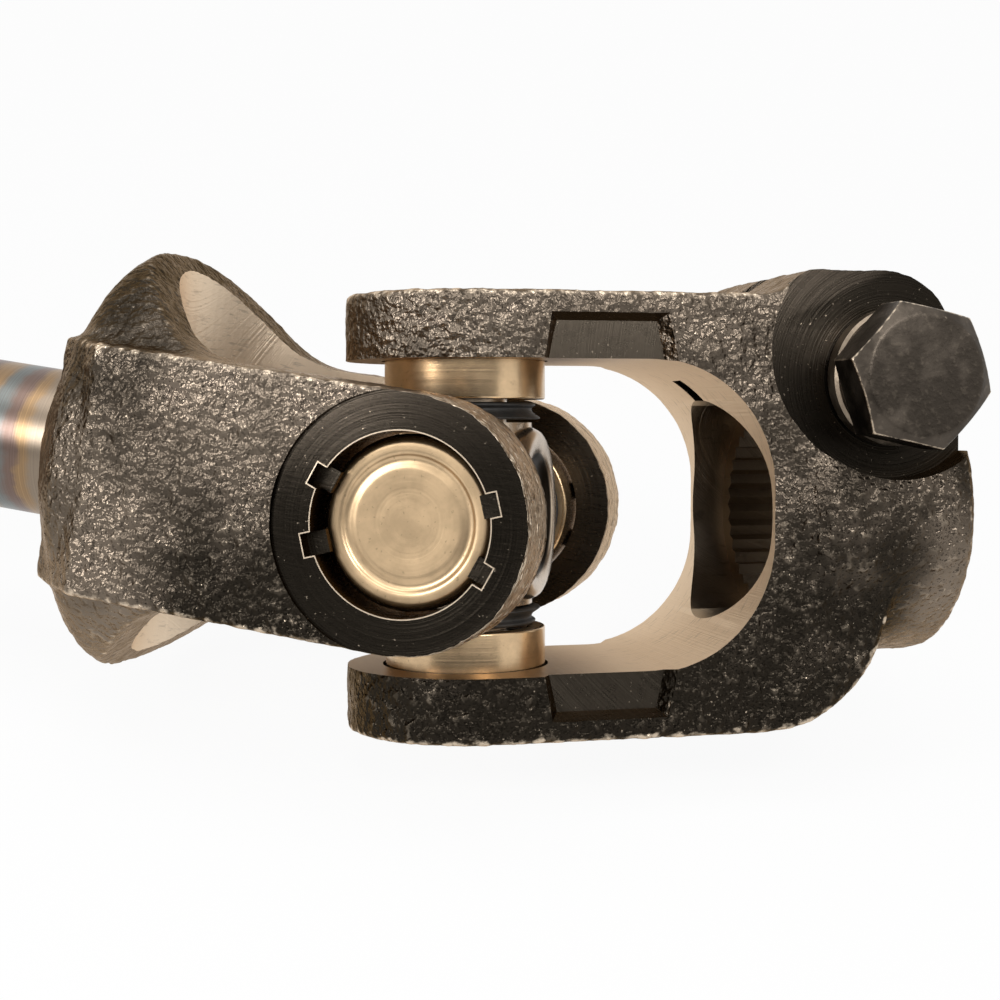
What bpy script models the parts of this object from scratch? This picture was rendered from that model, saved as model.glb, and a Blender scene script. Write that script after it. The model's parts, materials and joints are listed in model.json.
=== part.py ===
"""Intermediate steering shaft with a cardan joint at each end.

A forged clamp yoke takes the steering gear's splined shaft at one end and the
column's at the other. Each one turns on a bearing cross in a forged shaft
yoke, and a splined shaft slides in a tube between the two shaft yokes.
The model lies on the ground with its bend level, and both clamp yokes' bores
run along X. Lengths are metres.

Every yoke is drawn in its own fork frame: the joint's centre is the origin,
+X runs to the hub, Y is the axis of its two bearing cups and Z is its width.
"""

import math

import bmesh
import bpy
from mathutils import Matrix, Vector

# Layout of the whole shaft
JOINT_SPACING = 0.180
CROSS_TURN = math.radians(-27.6)
SHAFT_TILT = math.radians(-8.8)
GROUND_HEIGHT = 0.0

# Clearances between pieces
SEAT_GAP = 0.0003
RUNNING_GAP = 0.0002

# How far a cutter runs past the faces that it cuts
CUT_PAST = 0.0040
SMALL_STEP = 0.0010

# Bearing cross and its cups
CUP_RADIUS = 0.0080
CUP_WALL = 0.0014
CUP_RIM_REACH = 0.0113
CUP_FACE_REACH = 0.0198
CUP_FLOOR = 0.0016
CUP_EDGE_CHAMFER = 0.0007
CUP_LAND_WIDTH = 0.0013
CUP_DISH_DEPTH = 0.0003
NEEDLE_DIAMETER = 0.0020
NEEDLE_COUNT = 12
CAGE_RING_THICKNESS = 0.0007
SEAL_RADIUS = 0.0071
SEAL_LIP_RADIUS = 0.0076
SEAL_LIP_THICKNESS = 0.0006
CROSS_SHOULDER_REACH = 0.0090
CROSS_SHOULDER_RADIUS = 0.0067
CROSS_DISC_RADIUS = 0.00856
CROSS_DISC_REACH = 0.0077
CROSS_DISH_RADIUS = 0.0062
CROSS_DISH_DEPTH = 0.0010
CROSS_EDGE = 0.0005
TRUNNION_CHAMFER = 0.0006

# Ears of every yoke
EAR_INNER_REACH = 0.0151
STAKE_ANGLE = math.radians(21.0)
STAKE_WIDTH = 0.0021
STAKE_INNER_RADIUS = 0.0073
STAKE_OUTER_RADIUS = 0.0099
STAKE_THICKNESS = 0.0008
STAKE_SIDE_MARGIN = 0.00002
FORGING_ROUND = 0.0010

# Clamp yoke
CLAMP_EAR_THICKNESS = 0.0065
CLAMP_HALF_DEPTH = 0.0119
CLAMP_THROAT_REACH = 0.0283
CLAMP_THROAT_CORNER = 0.0125
CLAMP_HUB_REACH = 0.0486
CLAMP_HUB_RADIUS = 0.0151
CLAMP_HUB_CHAMFER = 0.0008
CLAMP_HUB_BLEND = 0.0050
CLAMP_HEEL_RADIUS = 0.0137
CLAMP_HEEL_SETBACK = 0.0006
CLAMP_HEEL_RUNOUT = 0.0012
CLAMP_WEB_DROP = 0.0045
POCKET_START = 0.0066
POCKET_LENGTH = 0.0100
POCKET_HEIGHT = 0.0036
POCKET_DEPTH = 0.0018
POCKET_SLOPE = 0.0012
SPLINE_BORE_RADIUS = 0.0097
SPLINE_TOOTH_HEIGHT = 0.0007
SPLINE_BORE_TEETH = 36
LEAD_IN_RADIUS = 0.0113
LEAD_IN_DEPTH = 0.0035
SLIT_WIDTH = 0.0025

# Clamp boss, pinch bolt and lock washer
BOLT_REACH = 0.0408
BOLT_RISE = 0.0134
BOSS_RISE = 0.0240
BOSS_CORNER = 0.0075
BOSS_LENGTH = 0.0156
BOSS_SLOPE = 0.0040
BOSS_HALF_DEPTH = 0.0130
SPOT_FACE_HEIGHT = 0.0109
SPOT_FACE_RADIUS = 0.0126
SPOT_FACE_LIFT = 0.0025
SPOT_FACE_SETBACK = 0.0003
BOLT_RADIUS = 0.0040
BOLT_LENGTH = 0.0250
BOLT_HEAD_FLATS = 0.0130
BOLT_HEAD_HEIGHT = 0.0053
BOLT_HEAD_TURN = math.radians(19.0)
BOLT_CROWN_SHARE = 0.95
BOLT_CROWN_SLOPE = math.radians(30.0)
BOLT_END_CHAMFER = 0.0008
WASHER_RADIUS = 0.0068
WASHER_THICKNESS = 0.0020
WASHER_SPLIT = 0.0010
WASHER_SPLIT_PLACE = math.radians(205.0)
WASHER_SPLIT_LEAN = math.radians(25.0)
WASHER_EDGE = 0.0003

# Shaft yoke
YOKE_ARM_HALF_WIDTH = 0.0118
YOKE_EAR_THICKNESS = 0.0073
YOKE_PAD_STEP = 0.0004
YOKE_SPOT_RADIUS = 0.0120
YOKE_PAD_REACH = 0.0308
YOKE_THROAT_REACH = 0.0324
YOKE_DOME_RADIUS = 0.0224
YOKE_DOME_START = 0.0331
YOKE_HUB_REACH = 0.0410
YOKE_HUB_RADIUS = 0.0118
YOKE_PAD_CHAMFER = 0.0067
YOKE_DOME_LEDGE = 0.0020
YOKE_DOME_SHOULDER = 0.0036
YOKE_DOME_BULGE = 0.0018
YOKE_FLARE_START = 0.0200
YOKE_FLARE_RADIUS = 0.0100
YOKE_SEAT_WALL = 0.0025

# Sliding middle: splined inner shaft in the outer tube
SHAFT_RADIUS = 0.0078
SLIDE_TOOTH_HEIGHT = 0.0009
SLIDE_TEETH = 18
SPLINE_TIP_CUT = 0.00002
SLIDE_SPLINE_START = 0.062
SHAFT_END_REACH = 0.122
SHAFT_END_CHAMFER = 0.0010
TUBE_RADIUS = 0.0115
TUBE_MOUTH_REACH = 0.088
TUBE_SPLINE_END_REACH = 0.125
TUBE_BORE_RADIUS = 0.0084
SPIGOT_WALL = 0.0014
SPIGOT_SETBACK = 0.0006
TUBE_CHAMFER = 0.0012
CAP_WALL = 0.0008
CAP_GRIP = 0.0070
CAP_LIP_RADIUS = 0.0098
DUST_SEAL_THICKNESS = 0.0024
DUST_SEAL_LIP = 0.0008
DUST_SEAL_EDGE = 0.0006
DUST_SEAL_GAP = 0.0003

# Facets
BEARING_SIDES = 20
PIN_SIDES = 14
SEAL_SIDES = 16
HUB_SIDES = 30
SHAFT_SIDES = 26
THROAT_STEPS = 8
EAR_STEPS = 16
ARC_STEPS = 7

# Colours as red, green, blue, then roughness and metallic
BLACK_FORGING = ((0.035, 0.030, 0.026), 0.50, 0.55)
BARE_STEEL = ((0.42, 0.38, 0.33), 0.32, 1.0)
CUP_STEEL = ((0.55, 0.47, 0.38), 0.36, 1.0)
DARK_BOLT = ((0.050, 0.046, 0.044), 0.42, 0.80)
SEAL_RUBBER = ((0.020, 0.018, 0.017), 0.65, 0.0)
TUBE_STEEL = ((0.030, 0.028, 0.027), 0.45, 0.50)


def make_collection(name):
    collection = bpy.data.collections.new(name)
    bpy.context.scene.collection.children.link(collection)
    return collection


def clear_scene():
    for leftover in list(bpy.data.objects):
        bpy.data.objects.remove(leftover, do_unlink=True)


clear_scene()
PARTS = make_collection("intermediate_steering_shaft")
CUTTERS = make_collection("cutters")


def make_empty(name, parent=None, matrix=None):
    empty = bpy.data.objects.new(name, None)
    empty.empty_display_size = 0.02
    PARTS.objects.link(empty)
    empty.parent = parent
    if matrix is not None:
        empty.matrix_local = matrix
    return empty


def make_material(name, look):
    colour, roughness, metallic = look
    material = bpy.data.materials.new(name)
    material.use_nodes = True
    shader = material.node_tree.nodes["Principled BSDF"]
    shader.inputs["Base Color"].default_value = (*colour, 1.0)
    shader.inputs["Roughness"].default_value = roughness
    shader.inputs["Metallic"].default_value = metallic
    return material


def make_object(name, mesh, parent, matrix=None):
    shape = bpy.data.objects.new(name, mesh)
    shape.parent = parent
    if matrix is not None:
        shape.matrix_local = matrix
    return shape


def finish_part(shape, look):
    """Put a finished piece in the parts collection with its own material."""
    PARTS.objects.link(shape)
    shape.data.materials.append(make_material(shape.name, look))
    return shape


def finish_cutter(shape):
    CUTTERS.objects.link(shape)
    shape.hide_render = True
    shape.display_type = "WIRE"
    return shape


def mesh_from(name, build):
    """Fill a new mesh with what the function makes in a bmesh."""
    mesh = bpy.data.meshes.new(name)
    bm = bmesh.new()
    build(bm)
    bmesh.ops.recalc_face_normals(bm, faces=bm.faces)
    bm.to_mesh(mesh)
    bm.free()
    return mesh


def shade_round(shape, degrees=32.0):
    shape.data.shade_smooth()
    shape.data.set_sharp_from_angle(angle=math.radians(degrees))


def arc(centre, radius, start, end, steps=ARC_STEPS):
    """Points on an arc, with the angles in degrees."""
    points = []
    for step in range(steps + 1):
        angle = math.radians(start + (end - start) * step / steps)
        points.append((centre[0] + radius * math.cos(angle), centre[1] + radius * math.sin(angle)))
    return points


def prism_mesh(name, outline, low, high):
    """Extrude a flat outline along Z, from low to high."""
    def build(bm):
        corners = [bm.verts.new((x, y, low)) for x, y in outline]
        floor = bm.faces.new(corners)
        sweep = bmesh.ops.extrude_face_region(bm, geom=[floor])
        lifted = [item for item in sweep["geom"] if isinstance(item, bmesh.types.BMVert)]
        bmesh.ops.translate(bm, verts=lifted, vec=(0.0, 0.0, high - low))
    return mesh_from(name, build)


def turned(name, profile, parent, matrix, sides):
    """Turn a profile of (radius, height) about Z; it runs down the outer side."""
    mesh = bpy.data.meshes.new(name)
    bm = bmesh.new()
    points = [bm.verts.new((radius, 0.0, height)) for radius, height in profile]
    for first, second in zip(points, points[1:]):
        bm.edges.new((first, second))
    if profile[0][0] > 0.0:
        bm.edges.new((points[-1], points[0]))
    bm.to_mesh(mesh)
    bm.free()
    shape = make_object(name, mesh, parent, matrix)
    screw = shape.modifiers.new("turn", "SCREW")
    screw.axis = "Z"
    screw.angle = math.tau
    screw.steps = sides
    screw.render_steps = sides
    screw.use_merge_vertices = True
    screw.merge_threshold = 0.00001
    return shape


def cylinder_cutter(name, radius, low, high, parent, matrix=None, sides=BEARING_SIDES):
    def build(bm):
        place = Matrix.Translation((0.0, 0.0, (low + high) / 2.0))
        bmesh.ops.create_cone(bm, cap_ends=True, segments=sides, radius1=radius, radius2=radius,
                              depth=high - low, matrix=place)
    return finish_cutter(make_object(name, mesh_from(name, build), parent, matrix))


def box_cutter(name, low, high, parent, matrix=None):
    centre = (Vector(low) + Vector(high)) / 2.0
    size = Vector(high) - Vector(low)

    def build(bm):
        place = Matrix.Translation(centre) @ Matrix.Diagonal((*size, 1.0))
        bmesh.ops.create_cube(bm, size=1.0, matrix=place)
    return finish_cutter(make_object(name, mesh_from(name, build), parent, matrix))


def prism_cutter(name, outline, low, high, parent, matrix=None):
    return finish_cutter(make_object(name, prism_mesh(name, outline, low, high), parent, matrix))


def combine(shape, other, operation):
    boolean = shape.modifiers.new(operation.lower() + "_" + other.name, "BOOLEAN")
    boolean.operation = operation
    boolean.solver = "EXACT"
    boolean.object = other


def cut(shape, *others):
    for other in others:
        combine(shape, other, "DIFFERENCE")


def round_edges(shape, width, degrees=40.0, segments=1):
    bevel = shape.modifiers.new("forging_round", "BEVEL")
    bevel.width = width
    bevel.segments = segments
    bevel.limit_method = "ANGLE"
    bevel.angle_limit = math.radians(degrees)
    bevel.use_clamp_overlap = True


def toothed_outline(tip, height, teeth, gap=0.0):
    """Outline of an outer spline; the gap widens it into its matching bore."""
    root = tip - height + gap
    tip = tip + gap
    pitch = math.tau / teeth
    tip_half = 0.17 * pitch + gap / tip
    root_half = 0.31 * pitch + gap / root
    points = []
    for tooth in range(teeth):
        middle = tooth * pitch
        for radius, offset in ((root, -root_half), (tip, -tip_half), (tip, tip_half), (root, root_half)):
            points.append((radius * math.cos(middle + offset), radius * math.sin(middle + offset)))
    return points


def serrated_outline(tip, height, teeth):
    """Outline of fine V-shaped serrations, as in a clamp yoke's bore."""
    points = []
    for step in range(2 * teeth):
        radius = tip - height * (step % 2)
        angle = math.pi * step / teeth
        points.append((radius * math.cos(angle), radius * math.sin(angle)))
    return points


# Axes of a frame: Z of a turned piece or cutter laid along X or Y of the fork,
# and a flat outline in X and Z that is cut straight down along Y
ALONG_X = Matrix.Rotation(math.pi / 2.0, 4, "Y")
ALONG_Y = Matrix.Rotation(-math.pi / 2.0, 4, "X")
FROM_ABOVE = Matrix.Rotation(math.pi / 2.0, 4, "X")


def ear_side(side):
    """Frame with Z out through one ear: side is 1 or -1 along the fork's Y."""
    return Matrix.Rotation(-side * math.pi / 2.0, 4, "X")


def level_bend():
    """Clamp yoke's attitude that lays the bend flat, and the bend's angle."""
    along = Matrix.Rotation(CROSS_TURN, 3, "Y") @ Matrix.Rotation(SHAFT_TILT, 3, "Z")
    to_far_end = along @ Vector((-1.0, 0.0, 0.0))
    sideways = Vector((0.0, to_far_end.y, to_far_end.z)).normalized()
    upright = Vector((1.0, 0.0, 0.0)).cross(sideways)
    attitude = Matrix(((1.0, 0.0, 0.0), tuple(sideways), tuple(upright)))
    return attitude.to_4x4(), math.acos(-to_far_end.x)


def throat_outline(half_height, reach, corner):
    """U of a fork, open towards the ears, with its round bottom at the reach."""
    mouth = -2.0 * CLAMP_HALF_DEPTH
    centre_x = reach - corner
    flat = half_height - corner
    lower = arc((centre_x, -flat), corner, -90.0, 0.0, THROAT_STEPS)
    upper = arc((centre_x, flat), corner, 0.0, 90.0, THROAT_STEPS)
    if flat < 0.00001:
        upper = upper[1:]
    return [(mouth, -half_height)] + lower + upper + [(mouth, half_height)]


def cut_bearing_seats(yoke, outer_reach, parent, label):
    """Bore both ears for the cups and stake the metal over them."""
    bore_radius = CUP_RADIUS + SEAT_GAP
    seat = cylinder_cutter(label + "_seat", bore_radius, -outer_reach - CUT_PAST,
                           outer_reach + CUT_PAST, parent, ALONG_Y)
    cut(yoke, seat)
    tab_low = CUP_FACE_REACH + SEAT_GAP
    tab_high = tab_low + STAKE_THICKNESS
    half = STAKE_WIDTH / 2.0
    for side in (1, -1):
        for count in range(4):
            angle = STAKE_ANGLE * (1 if count % 2 else -1) + math.pi * (count // 2)
            frame = ear_side(side) @ Matrix.Rotation(angle, 4, "Z")
            spot = label + "_stake_" + ("upper" if side > 0 else "lower") + str(count)
            tab = box_cutter(spot + "_tab", (STAKE_INNER_RADIUS, -half, tab_low),
                             (STAKE_OUTER_RADIUS, half, tab_high), parent, frame)
            combine(yoke, tab, "UNION")
            dent_half = half - STAKE_SIDE_MARGIN
            dent_end = STAKE_OUTER_RADIUS - STAKE_THICKNESS / 2.0
            dent = box_cutter(spot + "_dent", (STAKE_INNER_RADIUS - SMALL_STEP, -dent_half, tab_high),
                              (dent_end, dent_half, outer_reach + CUT_PAST), parent, frame)
            cut(yoke, dent)


def clamp_side_outline():
    """Side view of the clamp yoke: two arms, heel, clamp boss and end."""
    outer = EAR_INNER_REACH + CLAMP_EAR_THICKNESS
    heel_x = BOLT_REACH - CLAMP_HEEL_SETBACK - CLAMP_HEEL_RADIUS
    heel_centre = (heel_x, CLAMP_HEEL_RADIUS - outer)
    heel = arc(heel_centre, CLAMP_HEEL_RADIUS, -90.0, -15.0)
    web_end = CLAMP_HUB_REACH - CLAMP_HUB_CHAMFER
    boss_start = web_end - BOSS_LENGTH
    corner = (web_end - BOSS_CORNER, BOSS_RISE - BOSS_CORNER)
    ear_end = -CLAMP_HALF_DEPTH - CUT_PAST
    outline = [(ear_end, -outer)]
    outline += heel
    outline += [(BOLT_REACH + CLAMP_HEEL_RUNOUT, -CLAMP_WEB_DROP), (web_end, -CLAMP_WEB_DROP)]
    outline += arc(corner, BOSS_CORNER, 0.0, 90.0)
    outline += [(boss_start, BOSS_RISE), (boss_start - BOSS_SLOPE, outer), (ear_end, outer)]
    return outline


def ear_plan_outline(half_width, reach):
    """Plan of a fork from its ears' round ends to the reach, in X and Z."""
    round_end = arc((0.0, 0.0), half_width, 90.0, 270.0, EAR_STEPS)
    return round_end + [(reach, -half_width), (reach, half_width)]


def build_clamp_yoke(name, parent):
    outer = EAR_INNER_REACH + CLAMP_EAR_THICKNESS
    side_view = prism_mesh(name, clamp_side_outline(), -BOSS_HALF_DEPTH, BOSS_HALF_DEPTH)
    yoke = make_object(name, side_view, parent)

    shoulder = CLAMP_THROAT_REACH + 4.0 * (BOSS_HALF_DEPTH - CLAMP_HALF_DEPTH)
    wide = BOSS_HALF_DEPTH + SMALL_STEP
    end = CLAMP_HUB_REACH + CUT_PAST
    plan = ear_plan_outline(CLAMP_HALF_DEPTH, CLAMP_THROAT_REACH)
    plan[-1:] = [(shoulder, -wide), (end, -wide), (end, wide), (shoulder, wide), plan[-1]]
    tall = BOSS_RISE + CUT_PAST
    plan_view = prism_cutter(name + "_plan", plan, -tall, tall, parent, FROM_ABOVE)
    combine(yoke, plan_view, "INTERSECT")
    round_edges(yoke, FORGING_ROUND)

    hub_profile = [
        (0.0, CLAMP_HUB_REACH),
        (CLAMP_HUB_RADIUS - CLAMP_HUB_CHAMFER, CLAMP_HUB_REACH),
        (CLAMP_HUB_RADIUS, CLAMP_HUB_REACH - CLAMP_HUB_CHAMFER),
        (CLAMP_HUB_RADIUS, CLAMP_THROAT_REACH + CLAMP_HUB_BLEND),
        (CLAMP_HALF_DEPTH - SMALL_STEP, CLAMP_THROAT_REACH - SMALL_STEP),
        (0.0, CLAMP_THROAT_REACH - SMALL_STEP),
    ]
    hub = finish_cutter(turned(name + "_hub", hub_profile, parent, ALONG_X, HUB_SIDES))
    combine(yoke, hub, "UNION")

    deep = CLAMP_HUB_RADIUS + CUT_PAST
    throat = throat_outline(EAR_INNER_REACH, CLAMP_THROAT_REACH, CLAMP_THROAT_CORNER)
    cut(yoke, prism_cutter(name + "_throat", throat, -deep, deep, parent))

    for side in (1, -1):
        for face in (1, -1):
            pocket = pocket_outline(side)
            floor = face * (CLAMP_HALF_DEPTH - POCKET_DEPTH)
            low, high = sorted((floor, face * (CLAMP_HALF_DEPTH + CUT_PAST)))
            label = name + "_pocket" + ("_up" if side > 0 else "_low") + ("_front" if face > 0 else "_back")
            cut(yoke, prism_cutter(label, pocket, low, high, parent))

    bore = serrated_outline(SPLINE_BORE_RADIUS, SPLINE_TOOTH_HEIGHT, SPLINE_BORE_TEETH)
    bore_start = CLAMP_THROAT_REACH - 1.5 * CUT_PAST
    cut(yoke, prism_cutter(name + "_bore", bore, bore_start, end, parent, ALONG_X))
    cut(yoke, cylinder_cutter(name + "_lead_in", LEAD_IN_RADIUS, CLAMP_THROAT_REACH - 2.0 * CUT_PAST,
                              CLAMP_THROAT_REACH + LEAD_IN_DEPTH, parent, ALONG_X, HUB_SIDES))
    cut(yoke, box_cutter(name + "_slit", (bore_start, 0.0, -SLIT_WIDTH / 2.0),
                         (end, tall, SLIT_WIDTH / 2.0), parent))
    bolt_axis = Matrix.Translation((BOLT_REACH, BOLT_RISE, 0.0))
    cut(yoke, cylinder_cutter(name + "_bolt_hole", BOLT_RADIUS + SEAT_GAP, -deep, deep, parent, bolt_axis))
    spot_axis = Matrix.Translation((BOLT_REACH - SPOT_FACE_SETBACK, BOLT_RISE + SPOT_FACE_LIFT, 0.0))
    cut(yoke, cylinder_cutter(name + "_spot_face", SPOT_FACE_RADIUS, SPOT_FACE_HEIGHT, deep,
                              parent, spot_axis, HUB_SIDES))
    cut_bearing_seats(yoke, outer, parent, name)
    return finish_part(yoke, BLACK_FORGING)


def pocket_outline(side):
    """Shallow trapezoid pocket at the inner edge of a clamp yoke's arm."""
    inner = EAR_INNER_REACH - 2.0 * SMALL_STEP
    outer = EAR_INNER_REACH + POCKET_HEIGHT
    start = POCKET_START
    end = POCKET_START + POCKET_LENGTH
    points = [(start - POCKET_SLOPE, inner), (end + POCKET_SLOPE, inner), (end, outer), (start, outer)]
    return [(x, side * y) for x, y in points]


def build_shaft_yoke(name, parent, seat_radius, seat_reach):
    """Shaft yoke whose hub is bored from its rear face to the seat's reach."""
    outer = EAR_INNER_REACH + YOKE_EAR_THICKNESS + YOKE_PAD_STEP
    chamfer_end = YOKE_PAD_REACH + YOKE_PAD_CHAMFER
    ear_end = -YOKE_ARM_HALF_WIDTH - CUT_PAST
    side_view = [
        (ear_end, -outer),
        (YOKE_PAD_REACH, -outer),
        (chamfer_end, YOKE_PAD_CHAMFER - outer),
        (chamfer_end, outer - YOKE_PAD_CHAMFER),
        (YOKE_PAD_REACH, outer),
        (ear_end, outer),
    ]
    yoke = make_object(name, prism_mesh(name, side_view, ear_end, -ear_end), parent)

    trim = ear_plan_outline(YOKE_ARM_HALF_WIDTH, YOKE_HUB_REACH)
    arm_plan = prism_cutter(name + "_arm_plan", trim, -2.0 * outer, 2.0 * outer, parent, FROM_ABOVE)
    combine(yoke, arm_plan, "INTERSECT")

    dome_drop = YOKE_HUB_REACH - YOKE_DOME_START
    dome_profile = [
        (0.0, YOKE_HUB_REACH),
        (YOKE_HUB_RADIUS, YOKE_HUB_REACH),
        (YOKE_HUB_RADIUS + YOKE_DOME_LEDGE, YOKE_HUB_REACH - 0.15 * dome_drop),
        (YOKE_DOME_RADIUS - YOKE_DOME_SHOULDER, YOKE_HUB_REACH - 0.55 * dome_drop),
        (YOKE_DOME_RADIUS - SMALL_STEP, YOKE_DOME_START + YOKE_DOME_BULGE),
        (YOKE_DOME_RADIUS, YOKE_DOME_START),
        (YOKE_DOME_RADIUS, YOKE_FLARE_START - CUT_PAST),
        (0.0, YOKE_FLARE_START - CUT_PAST),
    ]
    dome = finish_cutter(turned(name + "_dome", dome_profile, parent, ALONG_X, HUB_SIDES))
    flare = flare_outline()
    flare_view = prism_cutter(name + "_flare", flare, -2.0 * outer, 2.0 * outer, parent, FROM_ABOVE)
    combine(dome, flare_view, "INTERSECT")
    combine(yoke, dome, "UNION")
    round_edges(yoke, FORGING_ROUND)

    deep = YOKE_DOME_RADIUS + CUT_PAST
    throat = throat_outline(EAR_INNER_REACH, YOKE_THROAT_REACH, EAR_INNER_REACH)
    cut(yoke, prism_cutter(name + "_throat", throat, -deep, deep, parent))
    ear_face = outer - YOKE_PAD_STEP
    for side in (1, -1):
        label = name + "_spot" + ("_up" if side > 0 else "_low")
        cut(yoke, cylinder_cutter(label, YOKE_SPOT_RADIUS, ear_face, outer + CUT_PAST, parent,
                                  ear_side(side), HUB_SIDES))
    cut(yoke, cylinder_cutter(name + "_shaft_seat", seat_radius, seat_reach, YOKE_HUB_REACH + CUT_PAST,
                              parent, ALONG_X, SHAFT_SIDES))
    cut_bearing_seats(yoke, ear_face, parent, name)
    return finish_part(yoke, BLACK_FORGING)


def flare_outline():
    """Plan of the shaft yoke's flare, from the arms' width to the dome's."""
    half = YOKE_ARM_HALF_WIDTH
    fillet = arc((YOKE_FLARE_START, half + YOKE_FLARE_RADIUS), YOKE_FLARE_RADIUS, -90.0, -45.0, 6)
    last = fillet[-1]
    rise = YOKE_DOME_RADIUS + SMALL_STEP - last[1]
    upper = [(YOKE_FLARE_START - 2.0 * CUT_PAST, half)] + fillet
    upper += [(last[0] + rise, last[1] + rise), (YOKE_HUB_REACH + CUT_PAST, last[1] + rise)]
    lower = [(x, -z) for x, z in reversed(upper)]
    return upper + lower


def build_bolt(name, parent):
    """Hexagon bolt with its axis along Z of the clamp yoke's frame."""
    seat = SPOT_FACE_HEIGHT + WASHER_THICKNESS + 2.0 * SEAT_GAP
    top = seat + BOLT_HEAD_HEIGHT
    corner = BOLT_HEAD_FLATS / 2.0 / math.cos(math.pi / 6.0)
    axis = Matrix.Translation((BOLT_REACH, BOLT_RISE, 0.0))
    turned_frame = axis @ Matrix.Rotation(BOLT_HEAD_TURN, 4, "Z")
    hexagon = arc((0.0, 0.0), corner, 0.0, 300.0, 5)
    bolt = make_object(name, prism_mesh(name, hexagon, seat, top), parent, turned_frame)
    flats = BOLT_HEAD_FLATS / 2.0
    crown = flats * BOLT_CROWN_SHARE
    clear = corner + SEAT_GAP
    crown_profile = [
        (0.0, top),
        (crown, top),
        (clear, top - (clear - crown) * math.tan(BOLT_CROWN_SLOPE)),
        (clear, seat + SEAT_GAP),
        (crown, seat),
        (0.0, seat),
    ]
    crown_shape = finish_cutter(turned(name + "_crown", crown_profile, parent, turned_frame, BEARING_SIDES))
    combine(bolt, crown_shape, "INTERSECT")
    end = seat - BOLT_LENGTH
    shank_profile = [
        (0.0, seat + SMALL_STEP),
        (BOLT_RADIUS, seat + SMALL_STEP),
        (BOLT_RADIUS, end + BOLT_END_CHAMFER),
        (BOLT_RADIUS - BOLT_END_CHAMFER, end),
        (0.0, end),
    ]
    shank = finish_cutter(turned(name + "_shank", shank_profile, parent, turned_frame, PIN_SIDES))
    combine(bolt, shank, "UNION")
    return finish_part(bolt, DARK_BOLT)


def build_lock_washer(name, parent):
    low = SPOT_FACE_HEIGHT + SEAT_GAP
    inner = BOLT_RADIUS + SEAT_GAP
    axis = Matrix.Translation((BOLT_REACH, BOLT_RISE, 0.0))
    high = low + WASHER_THICKNESS
    profile = [
        (inner, high),
        (WASHER_RADIUS - WASHER_EDGE, high),
        (WASHER_RADIUS, high - WASHER_EDGE),
        (WASHER_RADIUS, low),
        (inner, low),
    ]
    washer = turned(name, profile, parent, axis, BEARING_SIDES)
    middle = Matrix.Translation(((inner + WASHER_RADIUS) / 2.0, 0.0, (low + high) / 2.0))
    lean = Matrix.Rotation(WASHER_SPLIT_LEAN, 4, "X")
    frame = axis @ Matrix.Rotation(WASHER_SPLIT_PLACE, 4, "Z") @ middle @ lean
    half = WASHER_SPLIT / 2.0
    reach = WASHER_THICKNESS
    split = box_cutter(name + "_split", (-reach, -half, -2.0 * reach), (reach, half, 2.0 * reach),
                       parent, frame)
    cut(washer, split)
    return finish_part(washer, DARK_BOLT)


def trunnion_radius():
    return CUP_RADIUS - CUP_WALL - NEEDLE_DIAMETER - 2.0 * RUNNING_GAP


def trunnion_reach():
    return CUP_FACE_REACH - CUP_FLOOR - SEAT_GAP


def build_cross(name, parent):
    """Bearing cross: a dished round body with four ground trunnions."""
    dish_floor = CROSS_DISC_REACH - CROSS_DISH_DEPTH
    upper = [
        (0.0, dish_floor),
        (CROSS_DISH_RADIUS - CROSS_DISH_DEPTH, dish_floor),
        (CROSS_DISH_RADIUS, CROSS_DISC_REACH),
        (CROSS_DISC_RADIUS - CROSS_EDGE, CROSS_DISC_REACH),
        (CROSS_DISC_RADIUS, CROSS_DISC_REACH - 2.0 * CROSS_EDGE),
    ]
    lower = [(radius, -height) for radius, height in reversed(upper)]
    cross = turned(name, upper + lower, parent, ALONG_X, BEARING_SIDES)
    radius = trunnion_radius()
    reach = trunnion_reach()
    shoulder = CROSS_SHOULDER_REACH
    arm_upper = [
        (0.0, reach),
        (radius - TRUNNION_CHAMFER, reach),
        (radius, reach - TRUNNION_CHAMFER),
        (radius, shoulder),
        (CROSS_SHOULDER_RADIUS, shoulder),
    ]
    arm = arm_upper + [(r, -h) for r, h in reversed(arm_upper)]
    for label, frame in (("_clamp_pin", ALONG_Y), ("_shaft_pin", Matrix.Identity(4))):
        pin = finish_cutter(turned(name + label, arm, parent, frame, PIN_SIDES))
        combine(cross, pin, "UNION")
    return finish_part(cross, BARE_STEEL)


def build_cup(name, parent, frame):
    inner = CUP_RADIUS - CUP_WALL
    land = CUP_RADIUS - CUP_EDGE_CHAMFER
    dish = land - CUP_LAND_WIDTH
    profile = [
        (0.0, CUP_FACE_REACH - CUP_DISH_DEPTH),
        (dish - CUP_DISH_DEPTH, CUP_FACE_REACH - CUP_DISH_DEPTH),
        (dish, CUP_FACE_REACH),
        (land, CUP_FACE_REACH),
        (CUP_RADIUS, CUP_FACE_REACH - CUP_EDGE_CHAMFER),
        (CUP_RADIUS, CUP_RIM_REACH),
        (inner, CUP_RIM_REACH),
        (inner, CUP_FACE_REACH - CUP_FLOOR),
        (0.0, CUP_FACE_REACH - CUP_FLOOR),
    ]
    return finish_part(turned(name, profile, parent, frame, BEARING_SIDES), CUP_STEEL)


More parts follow.
